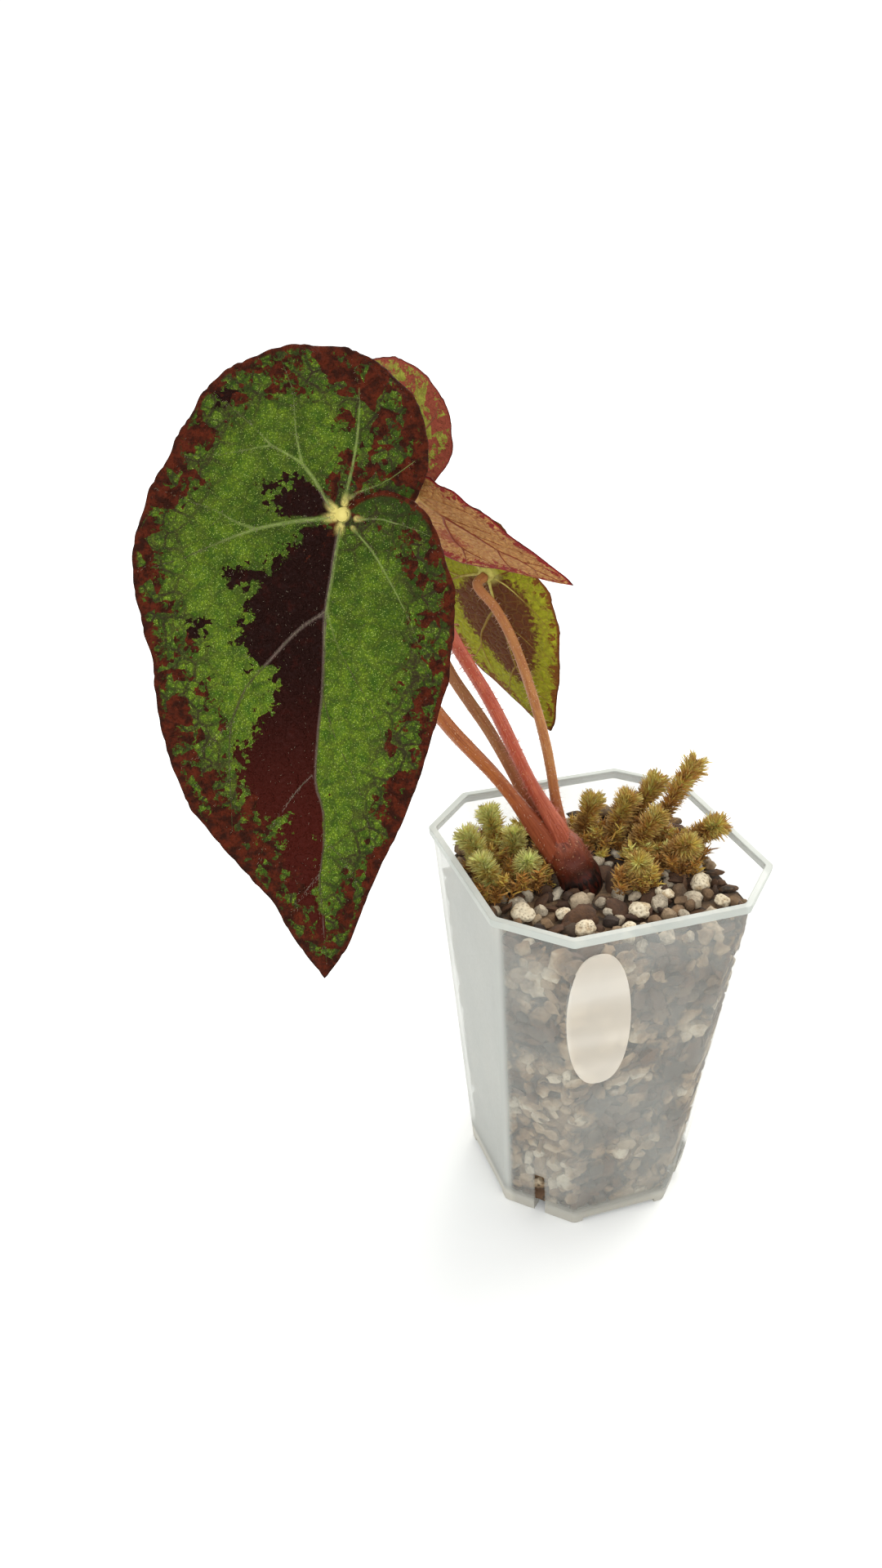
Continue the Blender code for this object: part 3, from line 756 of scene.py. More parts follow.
# Veins: degrees from the tip and millimetres from the stalk, then the width at each end
VEINS: dict[str, tuple[Route, float, float]] = {
    "midrib": (((-10.4, 2.5), (-8, 10.7), (-7.6, 18), (-5.3, 25.4), (-4.1, 32.6), (-4, 41.1),
                (-3.4, 49.8), (-1.4, 54.6), (-1, 61.8), (-1.4, 66.8), (-0.8, 72.6), (0.1, 83.5)),
               0.8, 0.25),
    "side": (((-8, 18.2), (-16.3, 21.4), (-21.4, 25.6), (-25.7, 33), (-26.8, 37.1), (-26, 43)),
             0.7, 0.45),
    "side_fork": (((-26, 43), (-24.2, 46.7), (-19.4, 55.9), (-17, 62)), 0.45, 0.18),
    "side_end": (((-26, 43), (-27.3, 47), (-28.8, 51.6), (-30.5, 55.5)), 0.45, 0.18),
    "low_side": (((-4.3, 48.2), (-6.9, 51.2), (-9.2, 55.6), (-10.7, 59.9), (-11.6, 66)), 0.5, 0.18),
    "tip_side": (((-1.2, 66), (-3.4, 70), (-5.4, 75)), 0.35, 0.15),
    "tip_near": (((-1, 60), (2.2, 63.5), (4.4, 68)), 0.35, 0.15),
    "cross": (((-72.2, 1.7), (-78, 6.4), (-78.8, 10.9), (-77.9, 16.1)), 0.8, 0.6),
    "cross_up": (((-77.9, 16.1), (-84.1, 20.1), (-89.7, 23.6), (-93.7, 30.3), (-96, 35)), 0.55, 0.2),
    "cross_low": (((-77.9, 16.1), (-73.8, 25.9), (-72.4, 31.7), (-72.9, 39)), 0.55, 0.2),
    "shoulder": (((-116.1, 1.9), (-136.1, 6.8), (-138.6, 11.9)), 0.8, 0.6),
    "shoulder_low": (((-138.6, 11.9), (-131.8, 18), (-132, 22.3), (-130.9, 32)), 0.5, 0.2),
    "shoulder_fork": (((-131.8, 18), (-120.2, 21.9), (-112.2, 26.2), (-108, 31)), 0.38, 0.16),
    "shoulder_up": (((-138.6, 11.9), (-145.6, 15.9), (-154.8, 23.7), (-155.7, 31)), 0.5, 0.2),
    "crest": (((-185.6, 2.1), (-188.1, 7.3), (-188.3, 12.1), (-185.3, 22.1), (-181, 28)), 0.6, 0.2),
    "back_lobe": (((-201.9, 3.6), (-219.7, 6.5), (-228, 9.9), (-229.2, 17)), 0.5, 0.2),
    "front_lobe": (((73.1, 2.7), (84, 6.1), (82.4, 9.4), (78.5, 16.5)), 0.5, 0.2),
    "near_side": (((37.7, 3.1), (41, 7.5), (38.9, 12.1), (37.1, 15.9), (33, 27), (29, 36)), 0.42, 0.12),
    "near_low": (((-7.8, 17), (0, 24), (9, 33), (13, 43), (13.5, 54)), 0.36, 0.12),
    "near_lower": (((-4.1, 33), (0.5, 41), (6, 51), (7.5, 62)), 0.32, 0.1),
}

# Width of the dark margin: degrees from the tip, positive on the near side, and millimetres
RIM_WIDTHS: Route = (
    (-296, 0.2), (-262, 0.5), (-246, 1.6), (-230, 5.0), (-210, 6.2), (-190, 6.6), (-168, 5.8), (-145, 3.8),
    (-118, 3.4), (-95, 4.0), (-75, 3.4), (-50, 3.8), (-34, 5.0), (-18, 5.6), (-8, 4.2), (0, 2.6),
    (6, 3.0), (14, 3.8), (28, 3.8), (45, 3.6), (62, 3.6), (78, 2.4), (96, 0.9), (120, 0.4), (144, 0.2),
)

# Dark patches of the largest leaf: across and along to the tip, in millimetres from the stalk
PATCHES: tuple[Route, ...] = (
    ((-1.7, 2.3), (-5.3, 2.3), (-8.2, 3.7), (-9.5, 5.5), (-10.5, 7.2), (-13.8, 9.9), (-16.7, 10.2),
     (-19.2, 9.8), (-20.5, 11.9), (-19.5, 13.9), (-17.9, 13.4), (-15.7, 14.2), (-17.7, 16.8),
     (-17, 19.7), (-18.7, 22.7), (-17.8, 25.3), (-16.4, 27.3), (-16.9, 29.3), (-11.5, 28.1),
     (-10.9, 32), (-11.7, 34.4), (-13.9, 38.9), (-16.8, 42.5), (-18.7, 43.6), (-18.3, 45.5),
     (-16.6, 46.4), (-16.9, 49.8), (-15.2, 54.1), (-15, 58.9), (-12.2, 57.4), (-8.4, 55.8),
     (-8.3, 57.7), (-10, 62.7), (-8.8, 67), (-7.8, 69.4), (-5.2, 73.6), (-1.9, 73),
     (-1.6, 66.6), (-1.1, 61.8), (-1.3, 54.6), (-2.9, 49.8), (-2.8, 41), (-2.3, 32.6),
     (-2.3, 25.4), (-2.3, 18), (-1.4, 10.6), (-0.4, 2.5)),
    ((-3.6, 74.6), (-0.2, 74), (0.1, 78.8), (-1, 80.8), (-3.2, 79)),
    ((-15.2, -4.4), (-10.3, -4.7), (-9.9, -7.1), (-7.3, -6.4), (-4.2, -3.6), (-2.5, -1.1),
     (-2.8, 0.3), (-9.1, 1), (-11.7, 1), (-13.4, -1.1), (-14.9, -3.6)),
    ((-27.3, 21), (-24.3, 21), (-24.3, 24.2), (-27.3, 24.2)),
    ((-24.8, -22), (-20.8, -22), (-20.8, -19.7), (-24.8, -19.7)),
)


REAR_PATCHES: tuple[Route, ...] = (
    ((-13, 4), (-22, 12), (-22, 26), (-16, 40), (-8, 52), (-2, 58), (4, 50), (9, 38), (12, 25), (11, 12),
     (6, 4), (0, 0)),
)
SIDE_PATCHES: tuple[Route, ...] = (((-20, 22), (-14, 26), (-15, 40), (-20, 36)),)


@dataclass(frozen=True)
class LeafFinish:
    """Colours of a leaf, on its upper side and under it."""

    name: str
    green: Rgb = (76, 108, 24)
    light_green: Rgb = (124, 148, 36)
    dark_green: Rgb = (32, 52, 10)
    # Painted highlight: the bright dots where the velvety cells catch the light.
    glint: Rgb = (178, 196, 104)
    crack: Rgb = (44, 34, 22)
    patch: Rgb = (24, 5, 2)
    patch_light: Rgb = (58, 14, 6)
    margin: Rgb = (78, 28, 11)
    margin_dark: Rgb = (41, 15, 6)
    vein: Rgb = (122, 138, 72)
    vein_far: Rgb = (66, 62, 36)
    vein_on_patch: Rgb = (98, 82, 74)
    star: Rgb = (200, 186, 108)
    under: Rgb = (146, 148, 58)
    under_deep: Rgb = (122, 118, 44)
    under_margin: Rgb = (138, 62, 50)
    under_vein: Rgb = (120, 70, 50)
    under_patch: Rgb = (140, 110, 60)
    under_star: Rgb = (186, 180, 106)

    def skin(self) -> Material:
        """Make the blade's material.

        Returns:
            A velvety green skin with dark patches and a dark margin above, and its paler
            underside, which the mesh's own values tell apart.
        """
        paint = Paint(self.name + "_skin")
        marks = self.marks(paint)
        upper = self.upper_side(paint, marks)
        lower = self.lower_side(paint, marks)
        paint.relief(paint.band(marks["bead"], 0.0, 0.7, 1.0, 0.0), 0.0002, 0.8)
        paint.relief(paint.band(marks["net"], 0.0, 0.25), 0.0007, 0.55)
        return paint.set(
            Base_Color=paint.mix(marks["under"], upper, lower),
            Roughness=paint.band(marks["speckle"], 0.3, 0.7, 0.42, 0.6),
            Specular_IOR_Level=0.05,
        )

    def marks(self, paint: Paint) -> Marks:
        """Read the mesh's values and lay the patterns that both sides of the blade share.

        Args:
            paint: The material in the making.

        Returns:
            The sockets by name.
        """
        band, times, plus = paint.band, paint.times, paint.plus
        names = ("edge", "rim_width", "vein", "patch", "heart", "tipward", "under")
        marks = {name: paint.note(name) for name in names}
        flat = paint.flat()
        bent = paint.bent(flat, 40, 0.012)
        crinkled = paint.bent(bent, 160, 0.005)
        marks["broad"] = paint.grain(flat, 14, 3)
        marks["blotch"] = paint.grain(flat, 48, 5, 0.62)
        marks["speckle"] = paint.grain(flat, 170, 4, 0.7)
        marks["fine"] = paint.grain(flat, 520, 2, 0.6)
        marks["bead"] = paint.cells(flat, 230)
        marks["glint"] = paint.cells(flat, 300)
        marks["net"] = paint.cells(bent, 25, "DISTANCE_TO_EDGE")
        marks["fine_net"] = paint.cells(bent, 62, "DISTANCE_TO_EDGE")
        marks["cell"] = paint.cells(crinkled, 34, output="Color")
        marks["small_cell"] = paint.cells(crinkled, 85, output="Color")
        marks["inward"] = paint.less(marks["edge"], marks["rim_width"])
        wide = band(marks["cell"], 0.25, 0.75, 0.15, 1.85)
        wide = plus(wide, band(marks["small_cell"], 0.2, 0.8, -0.5, 0.5))
        wide = plus(wide, band(marks["speckle"], 0.25, 0.75, -0.4, 0.4))
        wide = times(wide, marks["rim_width"])
        marks["rim"] = paint.less(marks["edge"], wide)
        wander = band(marks["small_cell"], 0.2, 0.8, -1.4, 1.4)
        wander = plus(wander, band(marks["blotch"], 0.3, 0.7, -1.0, 1.0))
        wander = plus(wander, band(marks["speckle"], 0.25, 0.75, -0.8, 0.8))
        wander = times(wander, band(marks["vein"], 0.8, 5.0, 0.08, 1.0))
        marks["wander"] = plus(marks["patch"], wander)
        # Painted highlights: small bright glints scattered over the blade.
        spark = band(marks["glint"], 0.1, 0.4, 1.0, 0.0)
        marks["spark"] = times(spark, band(marks["fine"], 0.46, 0.6))
        return marks

    def upper_side(self, paint: Paint, marks: Marks) -> Socket:
        """Colour the upper side.

        Args:
            paint: The material in the making.
            marks: The patterns.

        Returns:
            The colour's socket.
        """
        band, mix, times = paint.band, paint.mix, paint.times
        blotch, speckle, heart = marks["blotch"], marks["speckle"], marks["heart"]
        green = mix(band(blotch, 0.32, 0.62), self.green, self.light_green)
        broad = band(marks["broad"], 0.35, 0.62, 0.15, 0.75)
        near = band(heart, 10.0, 40.0, 1.0, 0.3)
        green = mix(times(broad, near), green, self.dark_green)
        green = mix(band(speckle, 0.42, 0.68, 0.0, 0.36), green, self.dark_green)
        # Painted light and shade on the tiny cell domes: lighter in their middles, darker between them.
        green = mix(band(marks["bead"], 0.12, 0.6, 0.0, 0.62), green, self.dark_green)
        # Painted highlight: glints on the green.
        green = mix(times(marks["spark"], 0.85), green, self.glint)

        outer = band(marks["inward"], 1.0, 12.0, 1.0, 0.0)
        crack = band(marks["net"], 0.02, 0.13, 1.0, 0.0)
        crack = times(crack, paint.most(outer, 0.28))
        thin = band(marks["fine_net"], 0.04, 0.2, 0.7, 0.0)
        thin = times(thin, times(outer, outer))
        crack = paint.most(crack, thin)
        crack = times(crack, band(speckle, 0.3, 0.55, 0.5, 1.0))
        green = mix(crack, green, self.crack)
        shaded = band(marks["rim"], 0.4, 3.2, 0.6, 0.0)
        green = mix(shaded, green, self.dark_green)

        dark = band(marks["wander"], -0.15, 0.2)
        maroon = mix(marks["tipward"], self.patch, self.patch_light)
        maroon = mix(band(blotch, 0.5, 0.75, 0.0, 0.35), maroon, self.patch_light)
        # Painted highlight: faint glints on the dark patches.
        maroon = mix(times(marks["spark"], 0.14), maroon, (110, 74, 66))
        upper = mix(dark, green, maroon)

        rim_share = band(marks["rim"], -0.3, 0.3, 1.0, 0.0)
        rim_share = paint.most(rim_share, band(marks["edge"], 0.6, 1.2, 1.0, 0.0))
        brown = mix(band(blotch, 0.38, 0.62), self.margin_dark, self.margin)
        brown = mix(band(speckle, 0.5, 0.7, 0.0, 0.6), brown, self.margin_dark)
        upper = mix(rim_share, upper, brown)

        line = mix(band(heart, 14.0, 32.0), self.vein, self.vein_far)
        line = mix(dark, line, self.vein_on_patch)
        share = band(marks["vein"], 0.25, 0.8, 0.6, 0.0)
        share = times(share, band(marks["edge"], 1.0, 9.0, 0.1, 1.0))
        upper = mix(share, upper, line)
        ray = band(marks["vein"], 0.5, 1.6, 1.0, 0.0)
        ray = times(ray, band(heart, 1.4, 4.6, 1.0, 0.0))
        ray = paint.most(ray, band(heart, 0.7, 1.7, 1.0, 0.0))
        return mix(ray, upper, self.star)

    def lower_side(self, paint: Paint, marks: Marks) -> Socket:
        """Colour the underside.

        Args:
            paint: The material in the making.
            marks: The patterns.

        Returns:
            The colour's socket.
        """
        band, mix, times = paint.band, paint.mix, paint.times
        lower = mix(band(marks["blotch"], 0.35, 0.68), self.under, self.under_deep)
        lower = mix(band(marks["wander"], -2.5, 1.0, 0.0, 0.95), lower, self.under_patch)
        thread = band(marks["net"], 0.0, 0.08, 0.55, 0.0)
        thread = times(thread, band(marks["edge"], 2.0, 16.0, 1.0, 0.4))
        lower = mix(thread, lower, self.under_vein)
        lower_rim = band(marks["rim"], -0.9, 1.0, 0.95, 0.0)
        lower_rim = paint.most(lower_rim, band(marks["edge"], 0.6, 1.3, 1.0, 0.0))
        lower = mix(lower_rim, lower, self.under_margin)
        lower = mix(band(marks["vein"], 0.5, 1.4, 0.85, 0.0), lower, self.under_vein)
        return mix(band(marks["heart"], 2.0, 7.0, 1.0, 0.0), lower, self.under_star)

    def rib(self) -> Material:
        """Make the material of the raised veins.

        Returns:
            A smooth, fleshy material, pale above and coloured under the blade.
        """
        paint = Paint(self.name + "_veins")
        band, mix = paint.band, paint.mix
        where = paint.place()
        mottle = paint.grain(where, 900, 3)
        under = paint.note("under")
        heart = paint.note("heart")
        dark = band(paint.note("patch"), -0.5, 0.8)
        upper = mix(band(heart, 14.0, 32.0), self.vein, self.vein_far)
        upper = mix(dark, upper, self.vein_on_patch)
        upper = mix(band(mottle, 0.35, 0.7, 0.0, 0.6), upper, self.dark_green)
        upper = mix(band(heart, 1.0, 3.8, 1.0, 0.0), upper, self.star)
        lower = mix(band(heart, 4.0, 22.0, 0.9, 0.0), self.under_vein, self.under_star)
        lower = mix(band(mottle, 0.4, 0.7, 0.0, 0.4), lower, self.under_margin)
        paint.relief(mottle, 0.0001, 0.5)
        return paint.set(Base_Color=mix(under, upper, lower), Roughness=0.5, Specular_IOR_Level=0.1)


@dataclass(frozen=True)
class HairFinish:
    """Colour of short hairs."""

    name: str
    root: Rgb
    tip: Rgb

    def coat(self) -> Material:
        """Make the hairs' material, which pales towards the tips."""
        paint = Paint(self.name)
        return paint.set(
            Base_Color=paint.mix(paint.note("out"), self.root, self.tip),
            Roughness=0.5,
            Specular_IOR_Level=0.3,
        )


@dataclass
class Leaf:
    """One leaf: its waved blade, its raised veins on both sides, its middle and its bristles."""

    name: str
    junction: Triple
    tip: Triple
    facing: Triple
    finish: LeafFinish
    hand: int = 1
    near: float = 1.0
    far: float = 1.0
    cup: float = 3.0
    fold: float = 0.0
    curl: float = 2.0
    spokes: int = 230
    rings: int = 46
    length: float = 84.5
    half_thickness: float = 0.33
    start_reach: float = 0.8
    hub_radius: float = 2.1
    tooth_pitch: float = 4.6
    tooth_depth: float = 0.42
    puff: float = 0.16
    rib_sides: int = 8
    rib_radii: Pair = (0.21, 0.62)
    bristles: int = 500
    bristle_radius: float = 0.032
    patches: tuple[Route, ...] = PATCHES
    rim: float = 1.0

    def axes(self) -> tuple[Array, Array, Array, Array]:
        """Find the blade's start and its own axes.

        Returns:
            The start, and the directions across, along to the tip and out of the upper side.
        """
        start = np.array(self.junction) * MM
        along = np.array(self.tip) * MM - start
        along /= np.linalg.norm(along)
        out = np.array(self.facing, float)
        out -= along * (out @ along)
        out /= np.linalg.norm(out)
        return start, np.cross(out, along) * self.hand, along, out

    def scale(self) -> float:
        """The blade's length against the largest leaf's."""
        return float(np.linalg.norm(np.array(self.tip) - np.array(self.junction))) / self.length

    @staticmethod
    def margin(angle: Array) -> Array:
        """The largest leaf's reach at degrees from its tip, positive on the near side."""
        turn = np.abs(angle)
        return np.where(angle >= 0, read_knots(NEAR_MARGIN, turn), read_knots(FAR_MARGIN, turn))

    def spoke_run(self) -> tuple[Array, Array]:
        """Measure the margin's length round the leaf.

        Returns:
            Angles in degrees from the tip, and the millimetres of margin run by each.
        """
        angles = np.linspace(-FAR_MARGIN[-1][0], NEAR_MARGIN[-1][0], 4001)
        reach = self.margin(angles)
        middle = (reach[1:] + reach[:-1]) / 2
        steps = np.hypot(np.diff(reach), np.radians(np.diff(angles)) * middle) + 0.01
        return angles, np.concatenate([[0], np.cumsum(steps)])

    def flat_place(self, angle: Array, reach: Array) -> Array:
        """Turn an angle and a reach into a place on the largest leaf's plane."""
        turn = np.radians(angle)
        return np.stack([reach * np.sin(turn), reach * np.cos(turn)], axis=-1)

    def surface(self, angle: Array, reach: Array, lift: Array | float) -> Array:
        """Find points on the blade's middle surface, in space.

        Args:
            angle: Degrees from the tip.
            reach: Millimetres from the stalk on the largest leaf.
            lift: Metres to stand out of the upper side.

        Returns:
            The points, one row each.
        """
        start, across, along, out = self.axes()
        size = self.scale() * MM
        flat = self.flat_place(angle, reach)
        x = np.where(flat[:, 0] > 0, flat[:, 0] * self.near, flat[:, 0] * self.far)
        y = flat[:, 1]
        share = np.clip(reach / np.maximum(self.margin(angle), 1.0), 0, 1.05)
        lobes = (0.65 + 1.15 * ease(2, 16, reach)) * (ease(20, 110, angle) - ease(170, 250, -angle))
        dome = -self.cup * (x * x + 0.25 * y * y) / 40**2
        bend = -3 * self.curl * (np.maximum(y, 0) / self.length) ** 3
        valley = self.fold * (np.hypot(x, 3.0) - 3.0)
        ripple = 0.55 * share**3 * np.sin(np.radians(angle) * 13)
        height = (dome + bend + valley + ripple) * size + lobes * MM + lift
        return start + np.outer(x * size, across) + np.outer(y * size, along) + np.outer(height, out)

    def vein_routes(self) -> list[tuple[Array, float, float]]:
        """The veins as even polar points, with the width in millimetres at each end."""
        return [(smooth_route(route, len(route) * 3), *widths) for route, *widths in VEINS.values()]

    def measure(self, flat: Array) -> dict[str, Array]:
        """Measure the values that the blade's materials read.

        Args:
            flat: Places on the largest leaf's plane.

        Returns:
            The nearest vein in widths of it, the depth inside a patch in millimetres, the
            distance from the stalk, and how far towards the tip a place lies.
        """
        vein = np.full(len(flat), 9.0)
        for route, first, last in self.vein_routes():
            gap, share = distance_to_route(flat, self.flat_place(route[:, 0], route[:, 1]))
            width = first + (last - first) * share
            vein = np.minimum(vein, gap / width)
        patch = np.full(len(flat), -9.0)
        for outline in self.patches:
            patch = np.maximum(patch, distance_into(flat, np.array(outline, float)))
        return {
            "vein": vein,
            "patch": patch,
            "heart": np.hypot(*flat.T),
            "tipward": ease(25, 62, flat[:, 1]),
            "flat_x": flat[:, 0] * 0.01,
            "flat_y": flat[:, 1] * 0.01,
        }

    def blade(self, piece: Piece) -> None:
        """Add the blade, a grid folded round the margin so that both its sides are one skin.

        Args:
            piece: The leaf's piece.
        """
        mold = sheet_mold(self.spokes, self.rings * 2)
        u, v = mold.places[:, 0], mold.places[:, 1] * 2
        under = v > 1.0 + 1e-6
        share = np.where(under, 2 - v, v)
        angles, run = self.spoke_run()
        travelled = u * run[-1]
        angle = np.interp(travelled, run, angles)
        from_end = np.minimum(u, 1 - u) * self.spokes
        size = self.scale()
        pitch = self.tooth_pitch / size
        wander = np.array([noise.noise((place * 0.16, 0.0, 7.0)) for place in travelled])
        tooth = np.abs(np.sin(np.pi * (travelled / pitch + 1.3 * wander))) ** 0.8 - 0.6
        tooth = tooth * (0.6 + wander) + 1.3 * wander
        edge_reach = self.margin(angle) + self.tooth_depth * tooth * ease(0, 12, from_end)
        first = self.start_reach / size
        edge_reach = np.maximum(edge_reach, first + 0.4 / size)
        reach = first + (edge_reach - first) * share**0.9
        flat = self.flat_place(angle, reach)
        notes = self.measure(flat)
        edge = self.edge_distance(angle, flat)
        rim_width = read_knots(RIM_WIDTHS, angle) * self.rim
        thick = self.half_thickness * (0.35 + 0.65 * ease(0.0, 2.2, edge))
        closing = ease(0, 3, from_end) * ease(0, 0.04, share) * np.sqrt(np.clip((1 - share) * 60, 0, 1))
        lift = np.where(under, -1.0, 1.0) * thick * closing
        valley = -self.puff * np.exp(-(notes["vein"] / 2.2) ** 2) * ease(0, 1.5, edge)
        puff = np.array([noise.noise((x, y, 3.0)) for x, y in flat * 0.42])
        lift = (lift + valley + self.puff * puff * ease(0, 2, edge)) * MM
        places = self.surface(angle, reach, lift)
        below = under.astype(float)
        piece.place(mold.moved(places), 0, edge=edge, rim_width=rim_width, under=below, **notes)

    def edge_distance(self, angle: Array, flat: Array) -> Array:
        """Measure how far places lie from their own lobe's margin, in millimetres.

        Args:
            angle: Degrees from the tip.
            flat: The places on the largest leaf's plane.

        Returns:
            The distance of each place.
        """
        angles, run = self.spoke_run()
        picked = np.interp(np.linspace(0, run[-1], 300), run, angles)
        outline = self.flat_place(picked, self.margin(picked))
        near = angle > -20
        apart = np.full(len(flat), 1e9)
        for side, kept in ((near, picked > -70), (~near, picked < 40)):
            gap, _ = distance_to_route(flat[side], outline[kept])
            apart[side] = gap
        return apart

    def veins(self, piece: Piece) -> None:
        """Add the veins: low pale lines above and full ribs below.

        Args:
            piece: The leaf's piece.
        """
        for route, first, last in self.vein_routes():
            lengths = len(route) - 1
            angle, reach = route.T
            taper = np.linspace(first, last, len(route))
            notes = self.measure(self.flat_place(angle, reach))
            ring = np.rint(rod_mold(self.rib_sides, lengths).places[:, 2] * lengths).astype(int)
            kept = {key: notes[key][ring] for key in ("patch", "heart")}
            above = self.surface(angle, reach, (self.half_thickness - 0.16 - 0.1 * taper) * MM)
            below = self.surface(angle, reach, -(self.half_thickness + 0.05) * MM)
            for points, radius, under in zip((above, below), self.rib_radii, (0.0, 1.0)):
                radii = radius * taper * MM * (self.scale() ** 0.3)
                piece.place(rod_along(points, radii, self.rib_sides, lengths), 1, under=under, **kept)

    def middle(self, piece: Piece) -> None:
        """Add the thick middle that joins the blade to its stalk.

        Args:
            piece: The leaf's piece.
        """
        start, across, along, out = self.axes()
        mold = rod_mold(24, 12)
        share = mold.places[:, 2]
        height = -1.8 + 2.45 * share
        swell = np.interp(
            share, [0, 0.12, 0.45, 0.6, 0.7, 0.8, 0.9, 1], [0.75, 0.88, 0.98, 0.85, 0.62, 0.52, 0.42, 0.2]
        )
        radius = swell * self.hub_radius
        places = (
            start
            + np.outer(mold.places[:, 0] * radius * MM, across)
            + np.outer(mold.places[:, 1] * radius * MM, along)
            + np.outer(height * MM, out)
        )
        piece.place(mold.moved(places), 1, under=(share < 0.5).astype(float), heart=0.0, patch=-9.0)

    def hairs(self, piece: Piece) -> None:
        """Add short pale bristles along the veins, on the dark patches and round the margin.

        Args:
            piece: The leaf's piece.
        """
        draw = np.random.default_rng(len(self.name) * 7 + self.spokes)
        _, across, along, out = self.axes()
        angles, run = self.spoke_run()
        picks_angle, picks_reach = [], []
        routes = self.vein_routes()
        for _ in range(self.bristles):
            route, _, _ = routes[draw.integers(len(routes))]
            at = route[draw.integers(len(route))]
            picks_angle.append(at[0] + draw.normal(0, 18 / max(at[1], 3)))
            picks_reach.append(at[1] + draw.normal(0, 0.6))
        spread = draw.uniform(0, run[-1], self.bristles * 2)
        loose = np.interp(spread, run, angles)
        picks_angle.extend(loose)
        picks_reach.extend(self.margin(loose) * np.sqrt(draw.uniform(0.02, 0.96, len(loose))))
        angle = np.array(picks_angle)
        reach = np.clip(np.array(picks_reach), 2.5, self.margin(angle) * 0.97)
        notes = self.measure(self.flat_place(angle, reach))
        chance = draw.uniform(0, 1, len(angle))
        keep = (notes["patch"] > -0.5) | (notes["vein"] < 1.6) | (chance < 0.22)
        angle, reach = angle[keep], reach[keep]
        side = np.where(draw.uniform(0, 1, len(angle)) < 0.72, 1.0, -1.0)
        roots = self.surface(angle, reach, side * (self.half_thickness - 0.1) * MM)
        lean = draw.normal(0, 0.35, (len(angle), 2))
        ways = side[:, None] * out + lean[:, :1] * across + (lean[:, 1:] + 0.35) * along
        lengths = draw.uniform(0.35, 0.85, len(angle)) * MM
        place_hairs(piece, 2, roots, ways, lengths, self.bristle_radius * MM, 0.1)

    def build(self) -> None:
        """Build the whole leaf in one piece and dress it."""
        piece = Piece(self.name + "_leaf")
        self.blade(piece)
        self.veins(piece)
        self.middle(piece)
        self.hairs(piece)
        hairs = HairFinish(self.name + "_leaf_hairs", (120, 100, 84), (196, 188, 160))
        thing = piece.finish([self.finish.skin(), self.finish.rib(), hairs.coat()])
        close_skin(thing)
        hand_over(thing, "leaf", "leaf_" + self.name)


def close_skin(thing: Thing) -> None:
    """Merge the points where a folded skin meets itself, and turn all its faces out.

    Args:
        thing: The object whose skin is closed.
    """
    bm = bmesh.new()
    bm.from_mesh(thing.data)
    bmesh.ops.remove_doubles(bm, verts=bm.verts, dist=0.000004)
    bmesh.ops.recalc_face_normals(bm, faces=bm.faces)
    bm.to_mesh(thing.data)
    bm.free()
    thing.data.update()


# Stalks and crown


STALKS: dict[str, tuple[Pair, Route]] = {
    "main": ((1.75, 1.4), ((-14.2, 2.6, 106.5), (-27.3, -0.6, 126.2), (-45.3, -8.1, 149.7),
                           (-60.3, -17.8, 174.6), (-69.5, -25.0, 194.5))),
    "back": ((1.6, 1.25), ((-11.8, 7.6, 105.0), (-25.8, 8.7, 133.7), (-37.8, 8.4, 153.7),
                           (-44.9, 10.2, 171.8), (-49.8, 12.7, 188.1))),
    "side": ((1.75, 1.35), ((-9.6, 2.6, 106.5), (-18.6, 2.0, 123.8), (-30.6, -1.9, 148.3),
                            (-42.4, -8.1, 168.3), (-51.2, -14.2, 186.3))),
    "rear": ((1.4, 1.1), ((-7.4, 7.6, 106.5), (-12.0, 8.2, 130.6), (-19.2, 7.4, 152.9),
                          (-25.2, 7.4, 166.3))),
}


@dataclass(frozen=True)
class FleshFinish:
    """Colours of a stalk or stem, from its foot to its leaf."""

    name: str
    foot: Rgb
    middle: Rgb
    neck: Rgb
    streak: Rgb
    fleck: Rgb = (214, 170, 126)
    foot_end: Pair = (0.08, 0.36)
    neck_start: Pair = (0.55, 1.0)

    def coat(self) -> Material:
        """Make the material.

        Returns:
            A juicy skin with long streaks and small pale flecks.
        """
        paint = Paint(self.name)
        where = paint.place()
        rise = paint.note("rise")
        streaks = paint.joined(paint.times(paint.note("turn"), 5.0), paint.times(rise, 3.5))
        lines = paint.grain(streaks, 3.0, 4, 0.65)
        mottle = paint.grain(where, 700, 4, 0.6)
        fleck = paint.cells(where, 1500)
        # For the crown, the foot colour is near-black painted shade where it meets the mix.
        tint = paint.mix(paint.band(rise, *self.foot_end), self.foot, self.middle)
        tint = paint.mix(paint.band(rise, *self.neck_start), tint, self.neck)
        tint = paint.mix(paint.band(lines, 0.42, 0.66, 0.0, 0.75), tint, self.streak)
        tint = paint.mix(paint.band(mottle, 0.45, 0.7, 0.0, 0.35), tint, self.foot)
        spots = paint.band(fleck, 0.12, 0.3, 0.7, 0.0)
        spots = paint.times(spots, paint.band(rise, *self.foot_end))
        tint = paint.mix(paint.times(spots, paint.band(mottle, 0.5, 0.6)), tint, self.fleck)
        paint.relief(lines, 0.00025, 0.6)
        paint.relief(mottle, 0.00012, 0.5)
        return paint.set(
            Base_Color=tint,
            Roughness=paint.band(mottle, 0.3, 0.7, 0.36, 0.54),
            Subsurface_Weight=0.08,
            Subsurface_Radius=(0.002, 0.0007, 0.0004),
            Specular_IOR_Level=0.22,
        )


